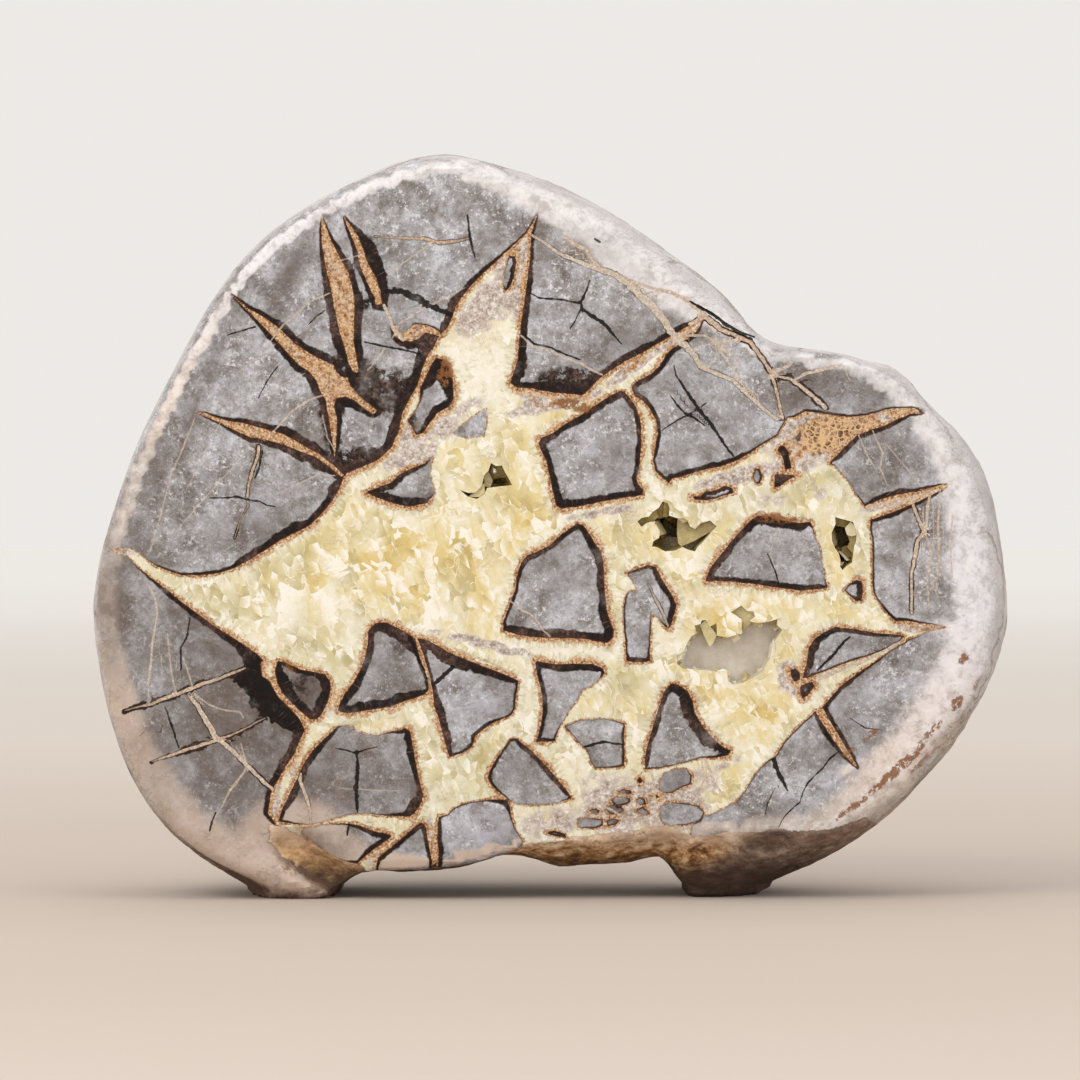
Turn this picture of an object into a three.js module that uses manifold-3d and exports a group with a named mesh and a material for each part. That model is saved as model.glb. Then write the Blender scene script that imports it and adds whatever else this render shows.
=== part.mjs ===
// Septarian nodule: half of a cracked limestone concretion, ground flat and polished in front,
// with a rounded rim, a lumpy rind behind, a broken lower edge and four hollows that crystals line.
// Millimetres. +X to the right, +Y from the polished face to the back, +Z up.
import * as THREE from "three";
import { mergeVertices } from "three/addons/utils/BufferGeometryUtils.js";
import Module from "manifold-3d";

const wasm = await Module();
wasm.setup();

// Body
const stoneDepth = 66; // polished face to the back of the dome
const beltDepth = 21; // the widest outline lies this far behind the face
const beltSpread = 1.02; // the belt is this much wider than its points, about the middle of the face
const faceMiddle = [-2, 70.6];
const hub = [0, 70]; // every outline is star-shaped about this point
const backPower = 2.35; // 2 is an ellipse, more is boxier
const domeEnd = 0.96; // share of the way along the dome's profile where a small flat cap ends it
const groundLevel = -1.4; // height in the outlines that the two feet are ground flat at
const groundBlock = [300, 200, 40]; // reaches past the stone on all sides
const stationCount = 132;
const frontRings = 6;
const backRings = 15;
const loopSamples = 900;
const calmSpan = 11; // stations each way that the dome's outline is evened over towards the back
const lumpWaves = [ // x, y, z share of each wave, wavelength, height: low lumps all over the rind
  [0.8, 0.35, 0.5, 43, 0.9],
  [-0.45, 0.6, 0.65, 34, 0.7],
  [0.3, -0.5, 0.8, 27, 0.5],
];
const ledgeSpacing = 31; // bedding ledges that cross the rind, leaning a little
const ledgeHeight = 1.1;
const ledgeLean = 0.24;
const ledgeTread = 0.76; // share of each ledge that rises slowly before it steps back
const rindStart = 16; // the relief of the rind fades in between these distances behind the face
const rindFull = 38;

// Crystals
const seatGap = 0.45; // between a pocket's wall and the crust in it
const crustLip = 0.5; // the crust ends this far behind the polished face
const crustTaper = 1.1; // the crust narrows a little faster than its pocket, so the gap stays even
const crustOpening = 0.6; // the crust's own hollow, as a share of the pocket
const toothRootDepth = 0.14; // the teeth start this share of the pocket inside the crust's wall
const pocketLevels = [ // share of the depth, share of the outline
  [0.35, 1],
  [0.75, 0.86],
  [1, 0.62],
];
const openingLevels = [
  [0.5, 1],
  [0.72, 0.7],
];
const skinOverlap = 3; // cutting shapes start this far in front of the face

// Rim of the flat face, clockwise from the left, as x, z
const faceRim = [
  [-89, 60], [-87.6, 70], [-83.6, 82.5], [-77.4, 96.5], [-71, 109], [-63.5, 121.5], [-54, 131.5],
  [-42, 138.8], [-30, 143.6], [-20.5, 145], [-11, 142.6], [0, 137.2], [11, 131], [22, 122.6],
  [31, 116.2], [40.6, 110.4], [45, 107.8], [56, 106.8], [65, 103.6], [71, 98.6], [76.4, 92],
  [80, 83.4], [82.8, 74], [84, 62], [83.6, 50], [80.8, 40.2], [73.4, 29], [65, 20], [55, 13.4],
  [46, 12.2], [36, 11.6], [28, 11.4], [18, 11.6], [8, 10.4], [-3, 10], [-10, 8.2], [-16, 6.6],
  [-26, 5.6], [-37, 5.2], [-45, 3.6], [-54, 3.2], [-63, 6], [-71.4, 10.8], [-79, 20.6],
  [-84.2, 32], [-87.6, 46],
];

// Widest outline of the stone, clockwise from the left, as x, z
const belt = [
  [-91.4, 57], [-90, 66.6], [-86.9, 77], [-82.5, 90], [-75, 105], [-68.3, 117.4], [-60, 128.4],
  [-50, 136.4], [-40, 141.9], [-30, 146.4], [-20, 148], [-10, 146], [0, 142.9], [10, 138.1],
  [20, 131.4], [30, 124.6], [35, 120], [39.4, 114.6], [42.4, 111.4], [45.4, 110.2], [55, 108.7],
  [65, 106.4], [70, 105], [75, 99.1], [83.6, 90.8], [88.6, 81.2], [90.5, 71], [92.4, 56], [90.6, 47.2],
  [84.8, 35.3], [77.7, 25.2], [70, 16.8], [60, 9.2], [48.6, 3.2], [40, -0.6], [34, -3], [29.6, -3.2],
  [27.2, 1.6], [26, 6.4], [23.6, 7.2], [15, 5], [5, 4], [-1.4, 5.8], [-8.3, 7.6], [-16, 5.2],
  [-29, 3.8], [-37.6, 3.8], [-42.6, 0.6], [-46, -3], [-51, -3.8], [-56, -2.4], [-60.4, 1.2],
  [-68.3, 5.7], [-75, 11.1], [-82.9, 21.4], [-87.3, 32], [-90, 43.5],
];

// Swells and dips of the rind: x, y, z of the middle, radius, height
const swells = [
  [82, 44, 84, 22, 3.0], [90, 46, 44, 18, 2.4], [52, 58, 100, 26, 3.2], [14, 62, 124, 22, 2.4],
  [-34, 60, 122, 26, 3.0], [-70, 52, 96, 22, -2.6], [-84, 44, 60, 20, 2.4], [-56, 62, 56, 24, 3.2],
  [-12, 68, 84, 26, -2.8], [32, 66, 62, 22, 2.6], [58, 56, 34, 20, -2.4], [-20, 60, 26, 22, 2.6],
  [8, 66, 40, 16, -2.0], [-66, 46, 20, 18, 2.2], [-10, 40, 146, 16, 1.8], [64, 40, 104, 14, -2.0],
];
const pits = [
  [70, 50, 66, 9, -2.2], [44, 62, 84, 8, -1.8], [-40, 64, 92, 9, -2.4], [-72, 52, 74, 8, -2.0],
  [-30, 64, 48, 8, -2.0], [18, 64, 104, 8, -2.0], [84, 40, 66, 8, -1.6], [-60, 52, 110, 8, -1.8],
];

// Scoops that broke out of the lower edge and of the rim: middle, half sizes, turn about +Y in degrees
const chips = [
  { at: [-50.6, -2.4, 8.6], half: [7.2, 6.8, 4.6], turn: 14 },
  { at: [-45.2, -2.2, 4.0], half: [9.0, 8.4, 4.0], turn: 24 },
  { at: [-2.4, -2.8, 6.6], half: [7.0, 6.2, 3.9], turn: -8 },
  { at: [5.6, -2.2, 5.2], half: [7.4, 7.6, 4.6], turn: 12 },
  { at: [14.8, -2.8, 6.6], half: [7.2, 8.0, 4.8], turn: -16 },
  { at: [23.2, -2.4, 8.4], half: [6.4, 7.2, 4.4], turn: 10 },
  { at: [32.6, -2.6, 8.8], half: [6.0, 6.2, 3.4], turn: -12 },
  { at: [42.6, -2.2, 9.0], half: [7.6, 6.8, 3.2], turn: -6 },
  { at: [11, 16, -0.6], half: [13.5, 15.0, 6.0], turn: 4 },
];

// Open crack in the upper right of the face, where a sliver of the rim has dropped a little
const crackOutline = [
  [27.4, 118.6], [30.6, 117.1], [32.9, 116.1], [35.3, 114.1], [38.2, 112.4], [42.2, 110.9],
  [41.4, 110.1], [37.8, 111.3], [34.7, 113.2], [32.2, 115.2], [30.2, 116.3],
];
const crackDepth = 1.6;

// Hollows: outline on the face, depth, and the crystals that grow on the crust inside
const hollows = [
  {
    name: "crystals_small_hollow",
    depth: 6,
    crystals: 6,
    size: 1.1,
    outline: [[-13.4, 83.4], [-11.7, 86.3], [-9.5, 85.6], [-7.5, 81.6], [-10.4, 80.7], [-13.2, 79.8]],
  },
  {
    name: "crystals_wide_hollow",
    depth: 11,
    crystals: 12,
    size: 2.5,
    outline: [
      [17.6, 74.2], [20, 75.7], [22.3, 78.4], [24.1, 77.6], [24.4, 75.4], [27.6, 74.7], [29.4, 73.4],
      [32, 74.6], [33.3, 73.2], [30.8, 70.4], [29.2, 68.3], [26.4, 69.1], [23, 68.1], [20.3, 69.2],
      [21.4, 71.4], [20.2, 73],
    ],
  },
  {
    name: "crystals_tall_hollow",
    depth: 9,
    crystals: 8,
    size: 1.6,
    outline: [
      [56.7, 75.2], [60.5, 74.4], [60.1, 71.8], [60.7, 68.4], [60.3, 66], [58.3, 64.6], [57.6, 67.2],
      [56.2, 70], [56.6, 73],
    ],
  },
  {
    name: "crystals_shallow_hollow",
    depth: 5,
    crystals: 10,
    size: 2.2,
    outline: [
      [27.6, 50.6], [29.4, 52.2], [32.3, 50.4], [34.6, 51.8], [38, 51.4], [41.4, 52.7], [43.6, 51],
      [44.1, 46.8], [42.7, 43], [38.4, 42.1], [35.6, 44.2], [31, 45.2], [27.6, 46.1],
    ],
  },
];

// A number from 0 to 1 that is always the same for the same seed
function chance(seed) {
  const wave = Math.sin(seed * 127.1 + 11.7) * 43758.5453;
  return wave - Math.floor(wave);
}

// Points along a smooth closed line through the knots
function smoothLoop(knots) {
  const line = knots.map(([x, z]) => new THREE.Vector3(x, 0, z));
  return new THREE.CatmullRomCurve3(line, true, "centripetal").getPoints(loopSamples);
}

// Distance from the hub to the loop in one direction
function reachOf(loop, angle) {
  const east = Math.cos(angle);
  const north = Math.sin(angle);
  let reach = 0;
  for (let i = 0; i < loop.length - 1; i += 1) {
    const from = loop[i];
    const to = loop[i + 1];
    const sideFrom = east * (from.z - hub[1]) - north * (from.x - hub[0]);
    const sideTo = east * (to.z - hub[1]) - north * (to.x - hub[0]);
    if (sideFrom <= 0 !== sideTo <= 0) {
      const share = sideFrom / (sideFrom - sideTo);
      const crossing = new THREE.Vector3().lerpVectors(from, to, share);
      reach = Math.max(reach, east * (crossing.x - hub[0]) + north * (crossing.z - hub[1]));
    }
  }
  return reach;
}

// The rind's swells and pits move a point away from the stone's core or towards it
function weathered(point) {
  const outward = point.clone().sub(new THREE.Vector3(hub[0], beltDepth, hub[1])).normalize();
  const rindShare = THREE.MathUtils.smoothstep(point.y, rindStart, rindFull);
  const bed = (point.z + point.x * ledgeLean) / ledgeSpacing;
  const tread = bed - Math.floor(bed);
  const step = tread < ledgeTread ? tread / ledgeTread : (1 - tread) / (1 - ledgeTread);
  let rise = ledgeHeight * (step - 0.5);
  for (const [x, y, z, length, height] of lumpWaves) {
    rise += height * Math.sin((2 * Math.PI * (x * point.x + y * point.y + z * point.z)) / length);
  }
  for (const [x, y, z, radius, height] of [...swells, ...pits]) {
    const distance = point.distanceTo(new THREE.Vector3(x, y, z));
    rise += height * Math.exp(-((distance / radius) ** 2));
  }
  return point.clone().addScaledVector(outward, rise * rindShare);
}

// Closed skin over rings with the same number of points, capped flat at both ends
function loft(rings) {
  const count = rings[0].length;
  const positions = rings.flat().flatMap((point) => [point.x, point.y, point.z]);
  const faces = [];
  for (let ring = 0; ring < rings.length - 1; ring += 1) {
    for (let i = 0; i < count; i += 1) {
      const here = ring * count + i;
      const next = ring * count + ((i + 1) % count);
      faces.push(here, next, here + count);
      faces.push(next, next + count, here + count);
    }
  }
  for (const [ring, flip] of [[0, true], [rings.length - 1, false]]) {
    const flat = rings[ring].map((point) => new THREE.Vector2(point.x, point.z));
    const first = ring * count;
    for (const [a, b, c] of THREE.ShapeUtils.triangulateShape(flat, [])) {
      const keep = THREE.ShapeUtils.area([flat[a], flat[b], flat[c]]) > 0 === flip;
      faces.push(first + a, first + (keep ? b : c), first + (keep ? c : b));
    }
  }
  const geometry = new THREE.BufferGeometry();
  geometry.setAttribute("position", new THREE.Float32BufferAttribute(positions, 3));
  geometry.setIndex(faces);
  return geometry;
}

function solidFrom(geometry) {
  const bare = geometry.clone();
  bare.deleteAttribute("normal");
  bare.deleteAttribute("uv");
  const merged = mergeVertices(bare, 1e-4);
  return new wasm.Manifold(
    new wasm.Mesh({
      numProp: 3,
      vertProperties: new Float32Array(merged.attributes.position.array),
      triVerts: new Uint32Array(merged.index.array),
    }),
  );
}

function geometryFrom(solid) {
  const mesh = solid.getMesh();
  const geometry = new THREE.BufferGeometry();
  geometry.setAttribute("position", new THREE.BufferAttribute(mesh.vertProperties, 3));
  geometry.setIndex(new THREE.BufferAttribute(mesh.triVerts, 1));
  return geometry;
}

// The dome's profile at even steps along it: share of the belt's reach, and depth
function domeProfile() {
  const length = stoneDepth - beltDepth;
  const fine = [];
  for (let i = 0; i <= loopSamples; i += 1) {
    const turn = ((i / loopSamples) * Math.PI) / 2;
    const share = Math.cos(turn) ** (2 / backPower);
    fine.push(new THREE.Vector2(share * hub[1], length * Math.sin(turn) ** (2 / backPower)));
  }
  const along = [0];
  for (let i = 1; i < fine.length; i += 1) {
    along.push(along[i - 1] + fine[i].distanceTo(fine[i - 1]));
  }
  const profile = [];
  for (let i = 1; i <= backRings; i += 1) {
    const target = (i / backRings) * domeEnd * along[along.length - 1];
    const { x, y } = fine[along.findIndex((distance) => distance >= target)];
    profile.push({ share: x / hub[1], y: beltDepth + y });
  }
  return profile;
}

// Rounded rim from the face to the belt, then the dome behind it
function stoneSkin() {
  const rimLoop = smoothLoop(faceRim);
  const spread = ([x, z]) => [
    faceMiddle[0] + (x - faceMiddle[0]) * beltSpread,
    faceMiddle[1] + (z - faceMiddle[1]) * beltSpread,
  ];
  const beltLoop = smoothLoop(belt.map(spread));
  const stations = [];
  for (let i = 0; i < stationCount; i += 1) {
    const angle = (-2 * Math.PI * i) / stationCount;
    stations.push({ angle, rim: reachOf(rimLoop, angle), belt: reachOf(beltLoop, angle) });
  }
  stations.forEach((station, i) => {
    let sum = 0;
    for (let step = -calmSpan; step <= calmSpan; step += 1) {
      sum += stations[(i + step + stationCount) % stationCount].belt;
    }
    station.calm = sum / (2 * calmSpan + 1);
  });
  const ringAt = (y, reachAt) =>
    stations.map((station) => {
      const x = hub[0] + Math.cos(station.angle) * reachAt(station);
      const z = hub[1] + Math.sin(station.angle) * reachAt(station);
      return weathered(new THREE.Vector3(x, y, z));
    });
  const rings = [];
  for (let i = 0; i <= frontRings; i += 1) {
    const turn = ((i / frontRings) * Math.PI) / 2;
    const y = beltDepth * (1 - Math.cos(turn));
    const bulge = Math.sin(turn);
    rings.push(ringAt(y, ({ rim, belt: wide }) => THREE.MathUtils.lerp(rim, wide, bulge)));
  }
  for (const { share, y } of domeProfile()) {
    const kept = share ** 3;
    rings.push(ringAt(y, ({ belt: wide, calm }) => THREE.MathUtils.lerp(calm, wide, kept) * share));
  }
  return loft(rings);
}

// Rings of one outline at several depths, each shrunk about the outline's middle
function taperedRings(outline, levels) {
  const middleX = outline.reduce((sum, [x]) => sum + x, 0) / outline.length;
  const middleZ = outline.reduce((sum, [, z]) => sum + z, 0) / outline.length;
  return levels.map(([y, share]) =>
    outline.map(
      ([x, z]) => new THREE.Vector3(middleX + (x - middleX) * share, y, middleZ + (z - middleZ) * share),
    ),
  );
}

// The outline moved inwards by an even distance
function inset(outline, distance) {
  return outline.map(([x, z], i) => {
    const [beforeX, beforeZ] = outline[(i + outline.length - 1) % outline.length];
    const [afterX, afterZ] = outline[(i + 1) % outline.length];
    const inTo = new THREE.Vector2(x - beforeX, z - beforeZ).normalize();
    const outOf = new THREE.Vector2(afterX - x, afterZ - z).normalize();
    const inward = new THREE.Vector2(inTo.y + outOf.y, -inTo.x - outOf.x).normalize();
    const square = inward.x * outOf.y - inward.y * outOf.x;
    return [x + (inward.x * distance) / square, z + (inward.y * distance) / square];
  });
}

// The largest closed skin of a solid, so that bubbles between grown crystals are filled
function outerSkin(solid) {
  const bodies = solid.decompose();
  return bodies.reduce((largest, body) => (body.volume() > largest.volume() ? body : largest));
}

function pocket({ outline, depth }) {
  const levels = pocketLevels.map(([down, share]) => [depth * down, share]);
  return solidFrom(loft(taperedRings(outline, [[-skinOverlap, 1], ...levels])));
}

// A calcite tooth: a short six-sided prism that ends in a blunt point
function tooth(size, seed) {
  const sides = 4 + Math.floor(chance(seed) * 2);
  const length = size * (1.6 + chance(seed + 0.3));
  const rings = [[0, 0.9], [length * 0.55, 1], [length, 0.18]].map(([height, share]) => {
    const ring = [];
    for (let i = 0; i < sides; i += 1) {
      const angle = (-2 * Math.PI * i) / sides;
      const radius = (size / 2) * share * (i % 2 ? 0.82 : 1);
      ring.push(new THREE.Vector3(Math.cos(angle) * radius, height, Math.sin(angle) * radius));
    }
    return ring;
  });
  return loft(rings);
}

// Shell that lines a pocket, with teeth that lean into its opening, cut off behind the face
function crust({ outline, depth, crystals, size }) {
  const seat = inset(outline, seatGap);
  const levels = pocketLevels.map(([down, share]) => [depth * down - seatGap, share ** crustTaper]);
  const outer = solidFrom(loft(taperedRings(seat, [[crustLip, 1], ...levels])));
  const inside = openingLevels.map(([down, share]) => [depth * down, crustOpening * share]);
  const opening = loft(taperedRings(seat, [[-skinOverlap, crustOpening], ...inside]));
  let lining = outer.subtract(solidFrom(opening));
  const [wall, [middle]] = taperedRings(seat, [[0, crustOpening + toothRootDepth], [depth * 0.4, 0]]);
  for (let i = 0; i < crystals; i += 1) {
    const along = (i / crystals) * wall.length;
    const from = wall[Math.floor(along)];
    const to = wall[(Math.floor(along) + 1) % wall.length];
    const root = new THREE.Vector3().lerpVectors(from, to, along % 1);
    root.y = depth * (0.18 + 0.44 * chance(i + size));
    const lean = middle.clone().sub(root);
    lean.y -= depth * (0.1 + 0.4 * chance(i + 0.6));
    const upright = new THREE.Vector3(0, 1, 0);
    const turn = new THREE.Quaternion().setFromUnitVectors(upright, lean.normalize());
    const grown = tooth(size * (0.75 + 0.6 * chance(i + 0.9)), i + size);
    grown.applyQuaternion(turn);
    grown.translate(root.x, root.y, root.z);
    lining = lining.add(solidFrom(grown));
  }
  return outerSkin(lining.intersect(outer));
}

// A faceted bowl; each is first turned by its own place, so no two break along the same facets
function scoop({ at, half, turn }) {
  const lump = new THREE.IcosahedronGeometry(1, 1);
  lump.rotateZ(at[0]);
  lump.scale(...half);
  lump.rotateY(THREE.MathUtils.degToRad(turn));
  lump.translate(...at);
  return solidFrom(lump);
}

function crack() {
  return solidFrom(loft(taperedRings(crackOutline, [[-skinOverlap, 1], [crackDepth, 1]])));
}

// Everything below the feet
function ground() {
  const [width, depth, height] = groundBlock;
  const slab = new THREE.BoxGeometry(width, depth, height);
  slab.translate(0, stoneDepth / 2, groundLevel - height / 2);
  return solidFrom(slab);
}

function nodule() {
  let stone = solidFrom(stoneSkin());
  const removed = [...hollows.map(pocket), ...chips.map(scoop), crack(), ground()];
  for (const piece of removed) {
    stone = stone.subtract(piece);
  }
  return stone;
}

const polishedLimestone = new THREE.MeshStandardMaterial({
  color: 0x9a9698,
  roughness: 0.32,
  metalness: 0,
});
const honeyCalcite = new THREE.MeshStandardMaterial({
  color: 0xd8c77a,
  roughness: 0.18,
  metalness: 0,
});

function namedMesh(name, solid, material, origin) {
  const geometry = geometryFrom(solid);
  geometry.translate(-origin.x, -origin.y, -origin.z);
  geometry.computeVertexNormals();
  const mesh = new THREE.Mesh(geometry, material);
  mesh.name = name;
  return mesh;
}

const stone = nodule();
const { min, max } = stone.boundingBox();
const origin = new THREE.Vector3((min[0] + max[0]) / 2, (min[1] + max[1]) / 2, min[2]);

const specimen = new THREE.Group();
specimen.add(namedMesh("nodule", stone, polishedLimestone, origin));
for (const hollow of hollows) {
  specimen.add(namedMesh(hollow.name, crust(hollow), honeyCalcite, origin));
}

export default specimen;
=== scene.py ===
import math
import random
from functools import partial
from types import SimpleNamespace

import bpy
import numpy as np
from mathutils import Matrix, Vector, kdtree


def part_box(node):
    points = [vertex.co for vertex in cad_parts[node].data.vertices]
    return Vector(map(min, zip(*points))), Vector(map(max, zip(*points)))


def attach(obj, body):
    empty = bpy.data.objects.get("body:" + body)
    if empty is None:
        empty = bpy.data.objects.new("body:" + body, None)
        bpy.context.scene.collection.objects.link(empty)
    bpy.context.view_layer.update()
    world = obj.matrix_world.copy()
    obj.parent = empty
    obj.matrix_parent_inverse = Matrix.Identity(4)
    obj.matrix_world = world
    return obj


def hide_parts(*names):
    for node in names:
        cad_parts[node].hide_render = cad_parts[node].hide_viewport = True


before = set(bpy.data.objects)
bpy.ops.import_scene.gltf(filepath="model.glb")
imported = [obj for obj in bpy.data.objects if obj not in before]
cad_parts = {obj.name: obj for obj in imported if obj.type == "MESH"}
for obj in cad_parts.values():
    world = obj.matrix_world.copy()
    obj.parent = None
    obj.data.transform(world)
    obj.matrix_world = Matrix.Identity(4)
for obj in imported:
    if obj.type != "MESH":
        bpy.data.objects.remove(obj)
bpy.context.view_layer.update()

# Everything on the polished face is placed in mm, x to the right and z up from where the stone stands
faceFrame = {"shiftX": -0.648, "shiftZ": 1.4}
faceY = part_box("nodule")[0].y
print("frame loaded, polished face at", round(faceY * 1000, 2), "mm")


def onFace(x, z, depth=0.0):
    return Vector(((x + faceFrame["shiftX"]) / 1000, faceY + depth / 1000, (z + faceFrame["shiftZ"]) / 1000))


def deselectAll():
    if bpy.context.object and bpy.context.object.mode != "OBJECT":
        bpy.ops.object.mode_set(mode="OBJECT")
    bpy.ops.object.select_all(action="DESELECT")


def selectOnly(*pieces):
    deselectAll()
    for piece in pieces:
        piece.select_set(True)
    bpy.context.view_layer.objects.active = pieces[0]


def addModifier(piece, kind, **settings):
    selectOnly(piece)
    modifier = piece.modifiers.new(kind.lower(), kind)
    for name, value in settings.items():
        setattr(modifier, name, value)
    bpy.ops.object.modifier_apply(modifier=modifier.name)


def joinAll(pieces):
    selectOnly(*pieces)
    bpy.ops.object.join()
    return pieces[0]


def setPlace(piece):
    selectOnly(piece)
    bpy.ops.object.transform_apply(location=True, rotation=True, scale=True)


# Outlines in mm as x, z and the width of the dark rim that starts there
calciteField = [
    (-88, 68.9, 0), (-84, 69, 0), (-82.5, 68.3, 0), (-81, 67, 0.1), (-79, 65.5, 0.2), (-76.5, 64.5, 0.4),
    (-74, 63.6, 0.5), (-70, 63.5, 0.5), (-66, 64, 0.6), (-63, 65, 0.8), (-60, 66.7, 1.3), (-57, 68.5, 1.5),
    (-54, 70.5, 1.6), (-51, 72, 1.8), (-48, 73.5, 1.2), (-45.5, 76, 1.4), (-43.5, 78.5, 1.5), (-42, 81, 1.8),
    (-41.3, 83, 1.8), (-40.5, 84, 1.2), (-37.5, 85.2, 1.5), (-35, 86.3, 1.5), (-33, 87.8, 1.6),
    (-31.5, 89.3, 1.5), (-31, 91, 1.5), (-30.3, 92, 1.8), (-29.5, 96, 2), (-28, 99, 2), (-26.5, 101.5, 2),
    (-26, 103, 2), (-25.5, 105, 2), (-24.5, 107.5, 1.8), (-23.3, 109, 1.8), (-22.5, 111, 1.7),
    (-21.5, 112, 1.8), (-20.3, 113.3, 1.5), (-19.5, 115.3, 1.5), (-18.7, 117.5, 1.5), (-17.5, 119.3, 1.1),
    (-15.5, 121.7, 1), (-13.5, 123.8, 0.8), (-11, 126, 0.7), (-9, 128, 0.5), (-7, 129.8, 0.4),
    (-4.7, 132, 0.3), (-3.5, 134, 0.2), (-2.5, 136, 0.1), (-3.8, 131.5, 0.6), (-4, 127, 0.7), (-4.5, 123, 1),
    (-5.2, 118, 1.2), (-5.8, 114, 1.2), (-6.2, 110, 1.4), (-6.6, 106, 1.9), (-7.5, 103.5, 2), (-8, 102, 1.6),
    (-6.5, 101, 1.2), (-4, 101, 1), (-2, 100.5, 1.8), (1, 100, 2), (4, 99.8, 2.4), (6.5, 99.5, 2.4),
    (8, 100.8, 2), (9.5, 102.5, 1.8), (11, 103.7, 1.2), (13, 105, 1.1), (15, 106.3, 1.1), (18, 107.8, 1.1),
    (21, 109.5, 1.1), (24.5, 111.5, 1), (26.5, 112.7, 0.9), (28.5, 113.8, 0.6), (31, 115.6, 0.1),
    (30, 113.4, 0.3), (29, 112, 0.8), (26, 109.8, 0.9), (24.5, 109, 0.9), (23.2, 107.8, 1), (22, 105.5, 0.9),
    (20, 103.6, 0.9), (17.5, 102.5, 0.9), (16.3, 101.2, 0.9), (16.8, 99.5, 0.8), (18.5, 98.5, 0.8),
    (20, 96.8, 0.8), (21.2, 94.5, 0.7), (21.5, 92, 0.7), (21, 89, 0.6), (20.6, 86.5, 0.3), (21, 84.5, 0.5),
    (22.5, 83, 0.6), (23.8, 82, 0.8), (24.3, 82.8, 0.9), (27, 83.5, 0.9), (31, 84.7, 0.9), (34, 85.3, 0.9),
    (37, 86.3, 0.9), (40, 88, 0.5), (43, 90, 0.3), (45.5, 91.5, 0.2), (46.5, 93.5, 0.2), (47.5, 95, 0.2),
    (49, 95.2, 0.4), (51, 96.3, 0.5), (54, 96, 0.5), (57, 95.5, 0.4), (60, 95.2, 0.4), (63, 95.5, 0.3),
    (66, 96.3, 0.3), (68, 96.8, 0.3), (70, 97, 0.2), (73, 97, 0.2), (76.3, 96.6, 0), (74.5, 95.9, 0.2),
    (72, 95.8, 0.4), (69.5, 94.8, 0.8), (67, 93.5, 0.9), (64, 92.6, 1), (61.5, 91.6, 1), (60, 90.3, 1),
    (58, 88.3, 1), (56.5, 86.7, 0.8), (55.8, 86, 0.3), (57.5, 85, 0.1), (59.5, 82.5, 0.1), (61, 80, 0.1),
    (63, 77.3, 0.3), (64.5, 78, 0.8), (67, 79, 0.9), (70, 79.8, 0.9), (73.5, 80.3, 0.8), (76, 81, 0.5),
    (79.5, 82, 0), (79.5, 81, 0), (77, 80, 0.4), (74, 78.5, 0.7), (70.5, 77, 0.8), (67, 75.6, 0.8),
    (64, 74.6, 0.5), (64, 73, 0.3), (64.5, 70, 0.3), (64.5, 66, 0.3), (64.5, 62, 0.3), (64.8, 59.8, 0.3),
    (66, 57.8, 0.3), (67.5, 55.8, 0.5), (69, 54.4, 0.6), (71, 54.4, 0.6), (74, 54, 0.3), (80, 53.2, 0),
    (76, 52.3, 0), (72, 50.8, 0.2), (68, 48.5, 0.2), (64, 45.6, 0.4), (61.5, 44, 0.7), (58, 41.3, 0.8),
    (55.2, 38, 0.8), (54, 36.8, 0.5), (53, 36.3, 0.3), (50.5, 34, 0.2), (48, 31.5, 0.2), (46.5, 29.8, 0.2),
    (45, 27.2, 0.2), (43.5, 26.5, 0.2), (42, 25, 0.15), (40.5, 23, 0.15), (39, 20.5, 0.15),
    (37.5, 18.5, 0.15), (36, 17.5, 0.1), (33, 16, 0.1), (30, 15, 0.1), (28.5, 14, 0.1), (28, 9, 0),
    (26, -8, 0), (-38, -8, 0), (-39, 4, 0), (-44, 6.8, 0), (-50, 10.6, 0), (-54, 12.8, 0.2),
    (-56.4, 16, 0.9), (-55.8, 20, 0.8), (-55, 21.5, 1.5), (-53, 25, 1.6), (-51, 28, 1.5), (-50.3, 30, 1.6),
    (-49, 32.5, 3.2), (-50, 34.8, 4.6), (-52, 37, 4.6), (-54.5, 39.5, 4.8), (-56, 42.3, 5.2),
    (-57.5, 43.5, 5), (-57.8, 46, 4.4), (-57.3, 46.5, 4), (-58.5, 47.8, 3), (-62, 50.2, 1.3),
    (-67, 53.3, 1.1), (-71, 56.3, 1), (-74, 58.5, 0.9), (-77, 61, 0.7), (-80, 63.2, 0.4), (-82.5, 65.3, 0.2),
    (-84.5, 67.3, 0), (-88, 68.5, 0),
]

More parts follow.
